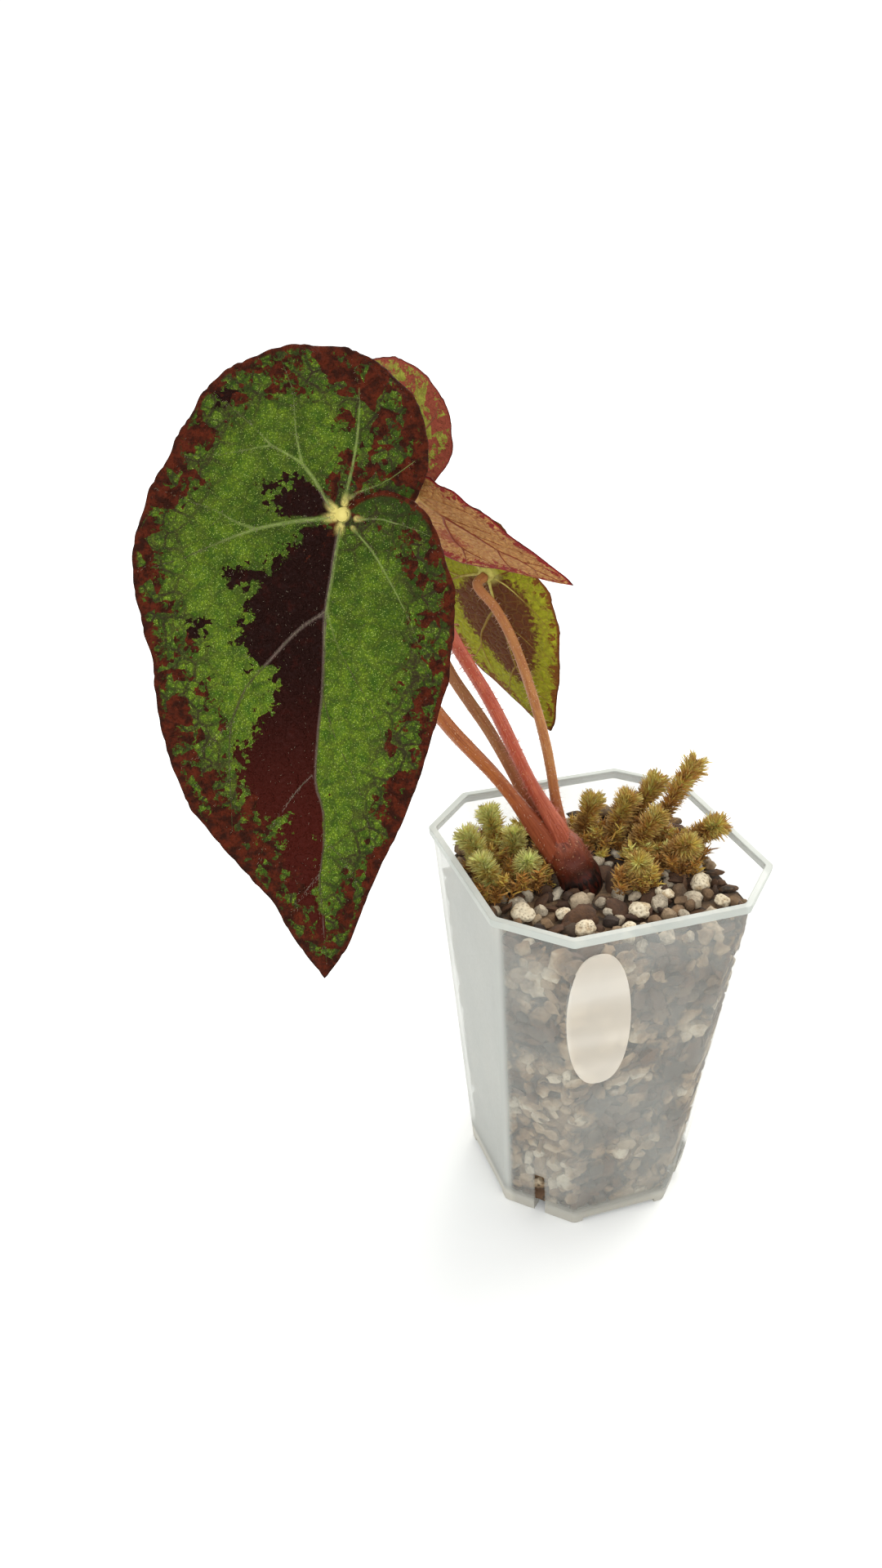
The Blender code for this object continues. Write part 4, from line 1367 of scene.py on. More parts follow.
@dataclass
class Stalk:
    """A leaf stalk with its grooves and its hairs."""

    leaf: Leaf
    finish: FleshFinish
    hair: HairFinish
    hairs: int = 340
    hair_length: float = 1.2
    hair_radius: float = 0.085
    sides: int = 20
    lengths: int = 110
    run: float = 3.5
    seat: float = 2.1
    root: Triple = (-6.6, 3.4, 97.0)

    def route(self) -> Array:
        """Lay the stalk's middle line, which ends square under its leaf's middle.

        Returns:
            Its points in metres, one row for each ring.
        """
        start, _, _, out = self.leaf.axes()
        end = start - out * self.seat * MM
        points = np.array(STALKS[self.leaf.name][1]) * MM
        sunk = np.array(self.root) * MM
        sunk[:2] += (points[0] - sunk)[:2] * 0.3
        bent = smooth_route(np.vstack([sunk, points, end - out * self.run * MM]), 14)
        return smooth_route(np.vstack([bent, end]), self.lengths + 1)

    def radii(self) -> Array:
        """Work out the stalk's radii, fuller at the foot and at the leaf.

        Returns:
            The radius at each ring, in metres.
        """
        foot, neck = STALKS[self.leaf.name][0]
        share = np.linspace(0, 1, self.lengths + 1)
        full = 1 + 0.6 * (1 - ease(0.04, 0.24, share)) + 0.12 * ease(0.95, 1.0, share)
        wander = np.array([noise.noise((s * 9, 0.0, foot)) for s in share])
        return (foot + (neck - foot) * share) * full * (1 + 0.05 * wander) * MM

    def grooves(self, turn: Array, rise: Array, _: Array) -> Array:
        """The skin's swelling, in five grooves that wind a little and nine fine ones."""
        return 1 + 0.035 * np.sin(turn * 5 + rise * 3) + 0.02 * np.sin(turn * 9)

    def build(self) -> None:
        """Build the stalk and dress it."""
        piece = Piece(self.leaf.name + "_stalk")
        route, radii = self.route(), self.radii()
        place_stem(piece, route, radii, self.sides, self.grooves)
        draw = np.random.default_rng(int(radii[0] * 1e7))
        at, away, roots = stem_roots(route, radii, draw, (3, self.lengths - 1, self.hairs), 0.92)
        ahead, _, _ = route_frames(route)
        ways = away + ahead[at] * draw.normal(0.05, 0.3, (self.hairs, 1))
        sizes = draw.uniform(0.5, 1.1, self.hairs) * self.hair_length * MM
        place_hairs(piece, 1, roots, ways, sizes, self.hair_radius * MM, 0.15)
        thing = piece.finish([self.finish.coat(), self.hair.coat()])
        hand_over(thing, "stalk", "stalk_" + self.leaf.name)


@dataclass
class Crown:
    """The short thick stem that the stalks grow from, with its roots and short hairs."""

    foot: Triple = (0.5, 1.0, 79.0)
    top: Triple = (-10.6, 5.0, 108.0)
    radius: float = 5.5
    sides: int = 48
    lengths: int = 70
    hairs: int = 420
    hairless: float = 0.62
    hair_radius: float = 0.06
    roots: int = 6

    def route(self) -> Array:
        """Lay the crown's middle line from its buried foot to its top.

        Returns:
            Its points in metres, one row for each ring.
        """
        foot, top = np.array(self.foot), np.array(self.top)
        bend = (foot + top) / 2 + np.array([0.8, -2.2, 0.0])
        return smooth_route(np.stack([foot, bend, top]), self.lengths + 1) * MM

    def knobs(self, turn: Array, rise: Array, places: Array) -> Array:
        """The skin's swelling, in four low ridges and small knobs."""
        rough = np.array([noise.noise(Vector(p) * 260) for p in places])
        return 1 + 0.05 * np.sin(turn * 4 + rise * 5) + 0.09 * rough

    def build(self) -> None:
        """Build the crown and dress it."""
        piece = Piece("crown_stem")
        route = self.route()
        share = np.linspace(0, 1, self.lengths + 1)
        swell = 1 + 0.04 * np.sin(share * 17)
        shape = 0.72 + 0.32 * ease(0, 0.45, share) - 0.42 * ease(0.62, 1, share)
        radii = self.radius * swell * shape * MM
        radii *= 1 - 0.5 * ease(0.97, 1.0, share)
        place_stem(piece, route, radii, self.sides, self.knobs)
        self.add_roots(piece, route)
        draw = np.random.default_rng(31)
        rings = (int(self.lengths * self.hairless), self.lengths, self.hairs)
        _, away, roots = stem_roots(route, radii, draw, rings, 0.95)
        ways = away + np.array([0, 0, 0.4]) + draw.normal(0, 0.25, (self.hairs, 3))
        sizes = draw.uniform(0.6, 1.5, self.hairs) * MM
        place_hairs(piece, 1, roots, ways, sizes, self.hair_radius * MM, 0.1)
        # The crown's near-black foot colour is painted shade where it sinks into the mix; it fades into the
        # flesh colour between half and three quarters of the way up.
        flesh = FleshFinish(
            "crown_flesh_and_shade", (14, 6, 4), (96, 40, 18), (138, 70, 44), (80, 28, 16), foot_end=(0.5, 0.74),
            neck_start=(0.68, 0.88),
        )
        hair = HairFinish("crown_hairs", (120, 60, 44), (190, 140, 116))
        hand_over(piece.finish([flesh.coat(), hair.coat()]), "crown", "crown")

    def add_roots(self, piece: Piece, route: Array) -> None:
        """Add the roots that spread from the buried foot.

        Args:
            piece: The crown's piece.
            route: The crown's middle line.
        """
        draw = random.Random(5)
        for i in range(self.roots):
            angle = TAU * i / self.roots + draw.uniform(-0.3, 0.3)
            out = np.array([math.cos(angle), math.sin(angle), 0])
            start = route[9] + out * self.radius * 0.35 * MM
            end = np.array(self.foot) * MM + out * 4.0 * MM
            end[2] -= draw.uniform(0.6, 1.6) * MM
            points = smooth_route(np.stack([start, (start + end) / 2 + out * 1.2 * MM, end]), 9)
            radii = np.linspace(1.2, 0.4, 9) * MM
            piece.place(rod_along(points, radii, 10, 8), 0, rise=0.0, turn=0.3)


# Pot


@dataclass(frozen=True)
class PlasticFinish:
    """Colours of the pot's frosted plastic."""

    wall: Rgb = (206, 208, 202)
    veil: float = 0.17
    # Veil of the wall towards -X, a painted sheen.
    sheen_veil: float = 0.6
    # Grey painted shade at the bottom of the walls.
    foot: Rgb = (176, 172, 160)
    rim: Rgb = (188, 192, 185)
    rim_veil: float = 0.85
    oval: Rgb = (214, 204, 188)
    oval_band: Rgb = (234, 227, 214)
    oval_veil: float = 0.62

    def base(self, name: str, tint: Look, veil: Look) -> Material:
        """Make one frosted plastic.

        Args:
            name: The material's name.
            tint: Makes its colour from the material in the making and a cloud.
            veil: Makes, from the same two, how much each face hides what is behind it.

        Returns:
            The material.
        """
        paint = Paint(name)
        where = paint.place()
        cloud = paint.grain(where, 45, 3)
        scuff = paint.grain(where, 900, 3, 0.7)
        paint.relief(scuff, 0.00006, 0.35)
        paint.relief(cloud, 0.0008, 0.2)
        return paint.set(
            Base_Color=tint(paint, cloud),
            Roughness=paint.band(scuff, 0.3, 0.7, 0.34, 0.5),
            Specular_IOR_Level=0.3,
            IOR=1.49,
            Alpha=veil(paint, cloud),
        )

    def shaded(self, tint: Rgb) -> Look:
        """A colour that cools a little in clouds."""
        cooler = tuple(c - 12 for c in tint)
        return lambda paint, cloud: paint.mix(paint.band(cloud, 0.35, 0.65), tint, cooler)

    def hazy(self, paint: Paint, cloud: Socket) -> Socket:
        """Make the walls' veil, heavier on the wall towards -X as painted sheen and near the foot as
        painted shade.

        Args:
            paint: The material in the making.
            cloud: Soft noise.

        Returns:
            The veil's socket.
        """
        x, _, z = paint.axes()
        lean = paint.plus(x, paint.times(z, 0.0922))
        # Painted sheen: the wall towards -X gets a heavier whitish veil, standing in for the milky look of
        # a frosted wall seen edge-on.
        side = paint.band(lean, -0.0276, -0.0256, self.sheen_veil, self.veil)
        # Painted shade: the walls grow more opaque towards the foot, where their colour greys.
        side = paint.plus(side, paint.band(z, 0.0025, 0.006, 0.6, 0.0))
        return paint.plus(side, paint.band(cloud, 0.3, 0.7, -0.06, 0.06))

    def walled(self, paint: Paint, cloud: Socket) -> Socket:
        """The walls' colour, which greys towards the foot as painted shade."""
        foot = paint.band(paint.axes()[2], 0.002, 0.008)
        return paint.mix(foot, self.foot, self.shaded(self.wall)(paint, cloud))

    def banded(self, paint: Paint, cloud: Socket) -> Socket:
        """The oval's colour, in soft level bands."""
        bands = paint.grain(paint.joined(z=paint.plus(paint.axes()[2], paint.times(cloud, 0.006))), 95, 1)
        return paint.mix(paint.band(bands, 0.36, 0.66), self.oval, self.oval_band)

    def coats(self) -> list[Material]:
        """The wall's material, the rim's and the oval's."""
        return [
            self.base("frosted_wall", self.walled, self.hazy),
            self.base("frosted_rim", self.shaded(self.rim), lambda paint, cloud: self.rim_veil),
            self.base("plain_oval", self.banded, lambda paint, cloud: self.oval_veil),
        ]


@dataclass
class Pot:
    """The square nursery pot with cut corners, its lip, drain slots, foot arches and raised oval."""

    height: float = 103.0
    rim_width: float = 75.0
    base_width: float = 56.0
    corner_cut: float = 14.5
    corner_radius: float = 1.8
    corner_steps: int = 4
    wall: float = 1.0
    floor: float = 2.6
    lip_height: float = 2.6
    lip_reach: float = 0.9
    slot: Triple = (3.3, 15.0, 7.0)
    arch: Triple = (22.0, 1.4, 12.0)
    oval: Triple = (16.0, 43.0, 0.6)
    oval_place: Pair = (-12.0, 75.5)
    finish: PlasticFinish = PlasticFinish()

    def half(self, z: float | Array) -> float | Array:
        """Half the outer width across the flats at a height, in millimetres."""
        return (self.base_width + (self.rim_width - self.base_width) * z / self.height) / 2

    def corners(self, inset: float, z: float) -> list[Vector]:
        """Find the eight corners of the outline at a height.

        Args:
            inset: How far they lie inside the outer wall, in millimetres.
            z: The height, in millimetres.

        Returns:
            The corners, in metres.
        """
        half = self.half(z) - inset
        cut = self.corner_cut - inset * (2 - math.sqrt(2))
        points = []
        for quarter in range(4):
            turn = Matrix.Rotation(math.pi / 2 * quarter, 2)
            points.append(turn @ Vector((half, half - cut)))
            points.append(turn @ Vector((half - cut, half)))
        return [Vector((p.x, p.y, z)) * MM for p in points]

    def outline(self, inset: float, z: float) -> list[Vector]:
        """Round the corners of the outline at a height with arcs.

        Args:
            inset: How far it lies inside the outer wall, in millimetres.
            z: The height, in millimetres.

        Returns:
            The points, in metres.
        """
        turn = math.pi / 4
        points = []
        for i, corner in enumerate(self.corners(inset, z)):
            outward = turn * (i + 0.5)
            back = self.corner_radius / math.cos(turn / 2) * MM
            centre = corner - Vector((math.cos(outward), math.sin(outward), 0)) * back
            for k in range(self.corner_steps + 1):
                angle = turn * (i + k / self.corner_steps)
                arm = Vector((math.cos(angle), math.sin(angle), 0)) * self.corner_radius * MM
                points.append(centre + arm)
        return points

    def shell(self) -> BMesh:
        """Make the wall, lip and floor.

        Returns:
            One closed body with rounded corners and edges.
        """
        bm = bmesh.new()
        ring = [bm.verts.new(point) for point in self.outline(0, 0)]
        bm.faces.new(ring[::-1])
        under_lip = self.height - self.lip_height
        steps = (
            (0.0, under_lip),
            (-self.lip_reach, under_lip + 0.4),
            (-self.lip_reach, self.height),
            (self.wall, self.height),
            (self.wall, self.floor),
        )
        for inset, z in steps:
            ring = raise_ring(bm, ring, self.outline(inset, z))
        bm.faces.new(ring)
        bmesh.ops.recalc_face_normals(bm, faces=bm.faces)
        sharp = [e for e in bm.edges if len(e.link_faces) == 2 and e.calc_face_angle() > 0.7]
        round_edges(bm, sharp, 0.32)
        return bm

    def cutters(self) -> Thing:
        """Make the cutter of the drain slots and the foot arches.

        Returns:
            The cutter's object.
        """
        bm = bmesh.new()
        for quarter in range(4):
            width, top, into = self.slot
            reach = (self.half(0) * 2 - self.corner_cut) / math.sqrt(2)
            self.add_block(bm, (reach - into, reach + 9), width, top, math.pi / 4 + math.pi / 2 * quarter)
            width, top, into = self.arch
            reach = self.base_width / 2
            self.add_block(bm, (reach - into, reach + 3), width, top, math.pi / 2 * quarter)
        return show("drain_cuts", bm)

    @staticmethod
    def add_block(bm: BMesh, run: Pair, width: float, top: float, angle: float) -> None:
        """Add one block to a cutter.

        Args:
            bm: The cutter.
            run: Where it starts and ends, outwards from the pot's middle, in millimetres.
            width: Its width.
            top: Its height over the pot's underside.
            angle: Its turn round Z.
        """
        made = bmesh.ops.create_cube(bm, size=1.0)["verts"]
        size = Vector((run[1] - run[0], width, top + 2))
        bmesh.ops.scale(bm, vec=size * MM, verts=made)
        bmesh.ops.translate(bm, vec=Vector(((run[0] + run[1]) / 2, 0, top / 2 - 1)) * MM, verts=made)
        edges = {e for v in made for e in v.link_edges}
        lifted = [e for e in edges if all(v.co.z > 0 for v in e.verts)]
        along = [e for e in lifted if abs(e.verts[0].co.x - e.verts[1].co.x) > MM]
        rounded = round_edges(bm, along, 0.4)["verts"]
        every = {v for v in made if v.is_valid} | set(rounded)
        bmesh.ops.rotate(bm, cent=(0, 0, 0), matrix=Matrix.Rotation(angle, 3, "Z"), verts=list(every))

    def raised_oval(self) -> Thing:
        """Make the closed body of the raised oval, sunk halfway into the front wall.

        Returns:
            The body's object.
        """
        bm = bmesh.new()
        made = bmesh.ops.create_circle(bm, cap_ends=True, segments=64, radius=1.0)["verts"]
        wide, high, raised = self.oval
        slope = (self.rim_width - self.base_width) / 2 / self.height
        outward = Vector((0, -1, -slope)).normalized()
        for vert in made:
            x, y = vert.co.x, vert.co.y
            z = self.oval_place[1] + y * high / 2
            side = (abs(x) ** 0.8 * math.copysign(1, x)) * wide * 0.54 - 2.2 * y - 2.0
            sunk = outward * self.wall * 0.5
            vert.co = (Vector((self.oval_place[0] + side, -self.half(z), z)) - sunk) * MM
        grown = bmesh.ops.extrude_face_region(bm, geom=bm.faces[:], use_keep_orig=True)["geom"]
        face = next(item for item in grown if isinstance(item, bmesh.types.BMFace))
        bmesh.ops.translate(bm, vec=outward * (self.wall * 0.5 + raised * 0.55) * MM, verts=face.verts)
        face.normal_update()
        if face.normal.dot(outward) < 0:
            face.normal_flip()
        for share, lift in ((0.35, 0.3), (0.5, 0.12)):
            bmesh.ops.inset_region(bm, faces=[face], thickness=share * MM)
            bmesh.ops.translate(bm, vec=outward * raised * lift * MM, verts=face.verts)
        bmesh.ops.recalc_face_normals(bm, faces=bm.faces)
        return show("raised_oval", bm)

    def coat_of(self, centre: Vector) -> int:
        """Tell which coat a face takes.

        Args:
            centre: The face's centre, in metres.

        Returns:
            0 for the wall, 1 for the rim or 2 for the oval.
        """
        x, y, z = centre / MM
        if z > self.height - self.lip_height - 0.2:
            return 1
        proud = -y - self.half(z)
        return 2 if proud > 0.05 and abs(x - self.oval_place[0]) < self.oval[0] else 0

    def build(self) -> None:
        """Build the pot and dress it."""
        thing = show("clear_pot", self.shell())
        tools = {"DIFFERENCE": self.cutters(), "UNION": self.raised_oval()}
        for operation, tool in tools.items():
            change = thing.modifiers.new(operation.lower(), "BOOLEAN")
            change.operation = operation
            change.solver = "EXACT"
            change.object = tool
        graph = bpy.context.evaluated_depsgraph_get()
        thing.data = bpy.data.meshes.new_from_object(thing.evaluated_get(graph))
        thing.modifiers.clear()
        for tool in tools.values():
            bpy.data.objects.remove(tool, do_unlink=True)
        thing.data.materials.clear()
        for coat in self.finish.coats():
            thing.data.materials.append(coat)
        for face in thing.data.polygons:
            face.material_index = self.coat_of(face.center)
        thing.data.shade_smooth()
        thing.data.set_sharp_from_angle(angle=math.radians(25))
        even = thing.modifiers.new("even_normals", "WEIGHTED_NORMAL")
        even.keep_sharp = True
        hand_over(thing, "pot", "pot")


# Growing mix


SOIL_LEVEL = 92.5
SOIL_RELIEF = 1.6
SOIL_GRIT = 6.0


def soil_height(x: float, y: float) -> float:
    """Find the height of the mix's gritty top, all in millimetres.

    Args:
        x: The place along X.
        y: The place along Y.

    Returns:
        The height there.
    """
    grit = noise.noise(Vector((x, y, 0.0)) / SOIL_GRIT)
    fine = noise.noise(Vector((x, y, 50.0)) / (SOIL_GRIT * 0.45))
    return SOIL_LEVEL + SOIL_RELIEF * (grit + 0.4 * fine)


class Grit(Enum):
    """What a lump of the growing mix is, by its tone from 0 to 1."""

    BARK = 0.12
    CHARCOAL = 0.32
    AKADAMA = 0.55
    PUMICE = 0.88


@dataclass(frozen=True)
class GritFinish:
    """Colours of the growing mix."""

    name: str
    bark: Rgb = (72, 48, 32)
    charcoal: Rgb = (46, 40, 36)
    clay: Rgb = (132, 104, 74)
    stone: Rgb = (206, 194, 170)
    behind: Rgb = (92, 78, 54)

    def coat(self) -> Material:
        """Make the material, whose colour follows each lump's tone.

        Returns:
            The material.
        """
        paint = Paint(self.name)
        where = paint.place()
        pressed = paint.note("pressed")
        smeared = paint.band(paint.grain(where, 66, 4, 0.6), 0.4, 0.64, 0.1, 1.0)
        tone = paint.note("tone")
        share = paint.times(pressed, 0.6)
        tone = paint.plus(paint.times(tone, paint.less(1.0, share)), paint.times(smeared, share))
        mottle = paint.grain(where, 420, 5, 0.65)
        fibre = paint.grain(where, 1400, 3, 0.6)
        pores = paint.cells(where, 1500)
        hue = paint.ramp(
            tone,
            (0.0, self.bark),
            (0.22, (96, 66, 42)),
            (0.34, self.charcoal),
            (0.5, self.clay),
            (0.7, (164, 142, 112)),
            (0.95, self.stone),
        )
        hue = paint.mix(paint.times(pressed, 0.2), hue, self.behind)
        grime = paint.times(paint.less(1.0, share), paint.band(mottle, 0.35, 0.7, 0.0, 0.6))
        darker = paint.mix(grime, hue, (40, 28, 20))
        pit = paint.band(pores, 0.05, 0.35, 0.55, 0.0)
        paint.relief(mottle, 0.0006, 0.8)
        paint.relief(fibre, 0.00025, 0.7)
        return paint.set(Base_Color=paint.mix(pit, darker, (60, 44, 32)), Roughness=0.88)


@dataclass
class GrowingMix:
    """The loose filling of bark, grit and pumice, pressed against the pot's clear wall."""

    pot: Pot
    inset: float = 1.3
    floor: float = 2.9
    pitch: float = 4.1
    squash: Route = ((0.75, 1.25), (0.65, 1.0), (0.5, 0.95))
    mixture: tuple[float, ...] = (0.36, 0.14, 0.22, 0.28)
    core_depth: float = 1.6
    first_level: float = 1.2
    level_step: float = 0.86
    top_step: float = 0.9
    half_top: float = 34.0
    crown_room: tuple[float, ...] = (-1.8, 2.0, 6.0)
    finish: GritFinish = GritFinish("growing_mix")

    def planes(self) -> list[tuple[Array, bool]]:
        """Directions of the eight walls, and whether each is a cut corner."""
        angles = [math.pi / 4 * i for i in range(8)]
        return [(np.array([math.cos(a), math.sin(a)]), bool(i % 2)) for i, a in enumerate(angles)]

    def reach(self, z: float | Array, corner: bool) -> float | Array:
        """How far the mix reaches towards a wall or a cut corner at a height, in millimetres."""
        half = self.pot.half(z)
        return (half * 2 - self.pot.corner_cut) / math.sqrt(2) - self.inset if corner else half - self.inset

    def press(self, places: Array) -> Array:
        """Flatten what would stand through a wall or the floor against it.

        Args:
            places: Places in millimetres.

        Returns:
            The places, with none outside the pot.
        """
        pressed = places.copy()
        for _ in range(2):
            for way, corner in self.planes():
                past = pressed[..., :2] @ way - self.reach(pressed[..., 2], corner)
                pressed[..., :2] -= np.maximum(past, 0)[..., None] * way
        pressed[..., 2] = np.maximum(pressed[..., 2], self.floor)
        return pressed

    def wall_spots(self, draw: Chance) -> list[Triple]:
        """Spread lumps over the inside of the walls.

        Args:
            draw: The source of chance.

        Returns:
            The lumps' places in millimetres.
        """
        spots = []
        level = self.floor + self.first_level
        while level < SOIL_LEVEL - 0.5:
            shift = draw.uniform(0, 1)
            for way, corner in self.planes():
                reach = self.reach(level, corner)
                other = self.reach(level, not corner)
                width = 2 * (other * math.sqrt(2) - reach)
                count = max(1, round(width / self.pitch))
                across = np.array([-way[1], way[0]])
                for k in range(count):
                    along = width * ((k + 0.5 + 0.5 * (shift - 0.5)) / count - 0.5)
                    along += draw.normal(0, 0.55)
                    spot = way * (reach - draw.uniform(0.5, 1.9)) + across * along
                    spots.append((*spot, level + draw.normal(0, 0.6)))
            level += self.pitch * self.level_step
        return spots

    def top_spots(self, draw: Chance) -> list[Triple]:
        """Spread lumps over the top.

        Args:
            draw: The source of chance.

        Returns:
            The lumps' places in millimetres.
        """
        spots = []
        x0, y0, room = self.crown_room
        steps = np.arange(-self.half_top, self.half_top + 0.1, self.pitch * self.top_step)
        for x in steps:
            for y in steps:
                px, py = x + draw.normal(0, 0.8), y + draw.normal(0, 0.8)
                free = all(
                    np.array([px, py]) @ way < self.reach(SOIL_LEVEL, corner) - 0.8
                    for way, corner in self.planes()
                )
                if free and math.hypot(px - x0, py - y0) > room:
                    spots.append((px, py, soil_height(px, py) - 0.5))
        return spots

    def core(self) -> Mold:
        """Make the dark body behind the lumps.

        Returns:
            The body.
        """
        bm = bmesh.new()
        inset = self.inset + self.core_depth
        ring = [bm.verts.new(p) for p in self.pot.corners(inset, self.floor + 0.6)]
        bm.faces.new(ring[::-1])
        ring = raise_ring(bm, ring, self.pot.corners(inset, SOIL_LEVEL - self.core_depth))
        bm.faces.new(ring)
        bmesh.ops.recalc_face_normals(bm, faces=bm.faces)
        bmesh.ops.triangulate(bm, faces=bm.faces)
        bmesh.ops.subdivide_edges(bm, edges=bm.edges, cuts=3, use_grid_fill=True)
        return Mold.take(bm)

    def build(self) -> None:
        """Build the mix and dress it."""
        piece = Piece("growing_mix")
        draw = np.random.default_rng(11)
        piece.place(self.core(), 0, tone=0.3, pressed=0.6)
        mold = stone_mold(2)
        walls = self.wall_spots(draw)
        spots = np.array([*walls, *self.top_spots(draw)])
        count = len(spots)
        on_top = np.arange(count) >= len(walls)
        size = np.clip(draw.lognormal(0.82, 0.26, count), 1.5, 4.2)
        size = np.where(on_top, size * 0.88, size)
        kinds = [kind.value for kind in Grit]
        tone = draw.choice(kinds, count, p=self.mixture)
        tone = np.clip(tone + draw.normal(0, 0.06, count), 0, 1)
        squash = np.stack([draw.uniform(*span, count) for span in self.squash], 1)
        flat_bark = tone < 0.25
        squash[flat_bark, 2] *= 0.6
        squash[flat_bark, 0] *= 1.35
        places = np.empty((count, len(mold.places), 3))
        for i in range(count):
            turn = np.array(Matrix.Rotation(draw.uniform(0, TAU), 3, Vector(draw.normal(0, 1, 3))))
            shape = mold.places * squash[i] * size[i]
            shift = draw.uniform(0, 50, 3)
            rough = np.array([noise.noise(Vector(p * 0.9 + shift)) for p in mold.places * 1.6])
            places[i] = (shape * (1 + 0.42 * rough[:, None])) @ turn.T + spots[i]
        places = self.press(places) * MM
        gaps = [self.reach(SOIL_LEVEL, corner) - spots[:, :2] @ way for way, corner in self.planes()]
        pressed = np.where(on_top, ease(5.0, 2.5, np.min(gaps, axis=0)), 1.0)
        piece.place_many(mold, places, 0, tone=tone, pressed=pressed)
        thing = piece.finish([self.finish.coat()], angle=44)
        hand_over(thing, "soil", "soil")


PUMICE: Route = (
    (-24.0, -9.5, 3.2), (-12.0, -20.5, 2.9), (4.5, -17.5, 2.8), (13.5, -13.5, 2.4), (25.0, -11.5, 3.2),
    (26.5, -20.5, 2.2), (-14.5, -13.0, 2.2), (-2.0, -25.0, 2.2), (28.0, 23.0, 2.6), (-13.0, 27.5, 2.4),
)


@dataclass(frozen=True)
class PumiceFinish:
    """Colours of a pumice grain."""

    name: str
    pale: Rgb = (222, 210, 182)
    stain: Rgb = (168, 140, 100)
    pore: Rgb = (120, 98, 72)

    def coat(self) -> Material:
        """Make the material of a pale, porous, slightly stained stone.

        Returns:
            The material.
        """
        paint = Paint(self.name)
        where = paint.place()
        cloud = paint.grain(where, 260, 4, 0.6)
        froth = paint.cells(where, 1300, "SMOOTH_F1")
        fine = paint.grain(where, 2600, 3, 0.6)
        tint = paint.mix(paint.band(cloud, 0.42, 0.7, 0.0, 0.8), self.pale, self.stain)
        tint = paint.mix(paint.band(froth, 0.1, 0.4, 0.6, 0.0), tint, self.pore)
        paint.relief(froth, 0.0005, 0.8)
        paint.relief(fine, 0.0002, 0.6)
        return paint.set(Base_Color=tint, Roughness=0.92)


@dataclass
class PumiceGrain:
    """One pumice grain on top of the mix."""

    number: int
    finish: PumiceFinish

    def build(self) -> None:
        """Build the grain and dress it."""
        x, y, radius = PUMICE[self.number]
        mold = stone_mold(5)
        draw = random.Random(80 + self.number)
        shift = Vector((draw.random(), draw.random(), draw.random())) * 9
        squash = np.array([1.0, draw.uniform(0.75, 0.95), draw.uniform(0.6, 0.8)])
        places = []
        for point in mold.places:
            where = Vector(point)
            rough = 1 + 0.22 * noise.noise(where * 1.3 + shift)
            rough += 0.05 * noise.noise(where * 4.1 + shift) - 0.06 * max(noise.noise(where * 9 + shift), 0)
            places.append(point * radius * rough)
        turn = np.array(Matrix.Rotation(draw.uniform(0, math.pi), 3, "Z"))
        places = (np.array(places) * squash) @ turn.T
        places += np.array([x, y, soil_height(x, y) + radius * 0.2])
        name = f"{self.number + 1:02d}"
        piece = Piece("pumice_grain_" + name)
        piece.place(mold.moved(places * MM))
        thing = piece.finish([self.finish.coat()])
        hand_over(thing, "pumice", "pumice_" + name)


# Moss


MOSS: tuple[tuple[Pair, Pair, float, float], ...] = (
    ((-26.5, 11.0), (-4.0, 3.0), 12.0, 3.6),
    ((-27.5, 2.5), (-3.0, 1.0), 9.5, 3.4),
    ((-20.5, 18.5), (-1.5, 3.0), 13.0, 3.4),
    ((-19.0, 4.5), (0.5, -3.0), 9.0, 3.2),
    ((-19.0, 11.5), (1.0, 1.0), 10.0, 3.2),
    ((4.0, 17.0), (3.5, 2.0), 13.0, 3.6),
    ((11.5, 14.0), (4.5, 0.5), 14.5, 3.6),
    ((19.0, 18.0), (7.0, 0.0), 17.0, 3.8),
    ((21.5, 9.0), (12.5, 3.0), 25.9, 3.8),
    ((27.5, 3.0), (4.5, -8.5), 16.5, 3.6),
    ((13.0, 5.0), (6.5, -0.5), 14.5, 3.6),
    ((20.5, 0.0), (3.0, -7.0), 12.5, 3.4),
    ((10.0, -4.5), (-2.0, -4.0), 9.5, 3.4),
    ((-6.5, 22.5), (-1.0, 3.5), 13.0, 3.4),
)


MOSS_DEPTH = 5.0
FROND_WIDTHS = (0.32, 0.62)


@dataclass(frozen=True)
class MossFinish:
    """Colours of moss, by the age of a leaf from 0 to 1."""

    name: str
    old: Rgb = (118, 74, 26)
    brown: Rgb = (178, 122, 46)
    olive: Rgb = (202, 182, 80)
    fresh: Rgb = (230, 236, 148)

    def coat(self) -> Material:
        """Make the material, whose colour follows each leaf's age.

        Returns:
            The material.
        """
        paint = Paint(self.name)
        age = paint.note("tone")
        out = paint.note("out")
        blotch = paint.grain(paint.place(), 260, 3)
        shifted = paint.plus(age, paint.band(blotch, 0.3, 0.7, -0.18, 0.18))
        hue = paint.ramp(shifted, (0.0, self.old), (0.4, self.brown), (0.7, self.olive), (1.0, self.fresh))
        hue = paint.mix(paint.band(out, 0.5, 1.0, 0.0, 0.45), hue, (206, 178, 112))
        return paint.set(
            Base_Color=hue,
            Roughness=0.7,
            Subsurface_Weight=0.15,
            Subsurface_Radius=(0.0008, 0.0006, 0.0003),
        )


def moss_route(foot: Pair, lean: Pair, length: float) -> Array:
    """Lay a moss stem's middle line.

    Args:
        foot: Where it stands on the mix.
        lean: How far its tip leans out.
        length: Its length over the mix.

    Returns:
        Its points from the buried foot to the tip, all in millimetres.
    """
    ground = np.array([*foot, SOIL_LEVEL])
    reach = np.array([*lean, 0.0])
    rise = math.sqrt(max(length**2 - lean[0] ** 2 - lean[1] ** 2, 9))
    bend = ground + reach * 0.35 + np.array([0, 0, rise * 0.55])
    tip = ground + reach + np.array([0, 0, rise])
    return np.stack([ground - np.array([0, 0, MOSS_DEPTH]), ground, bend, tip])


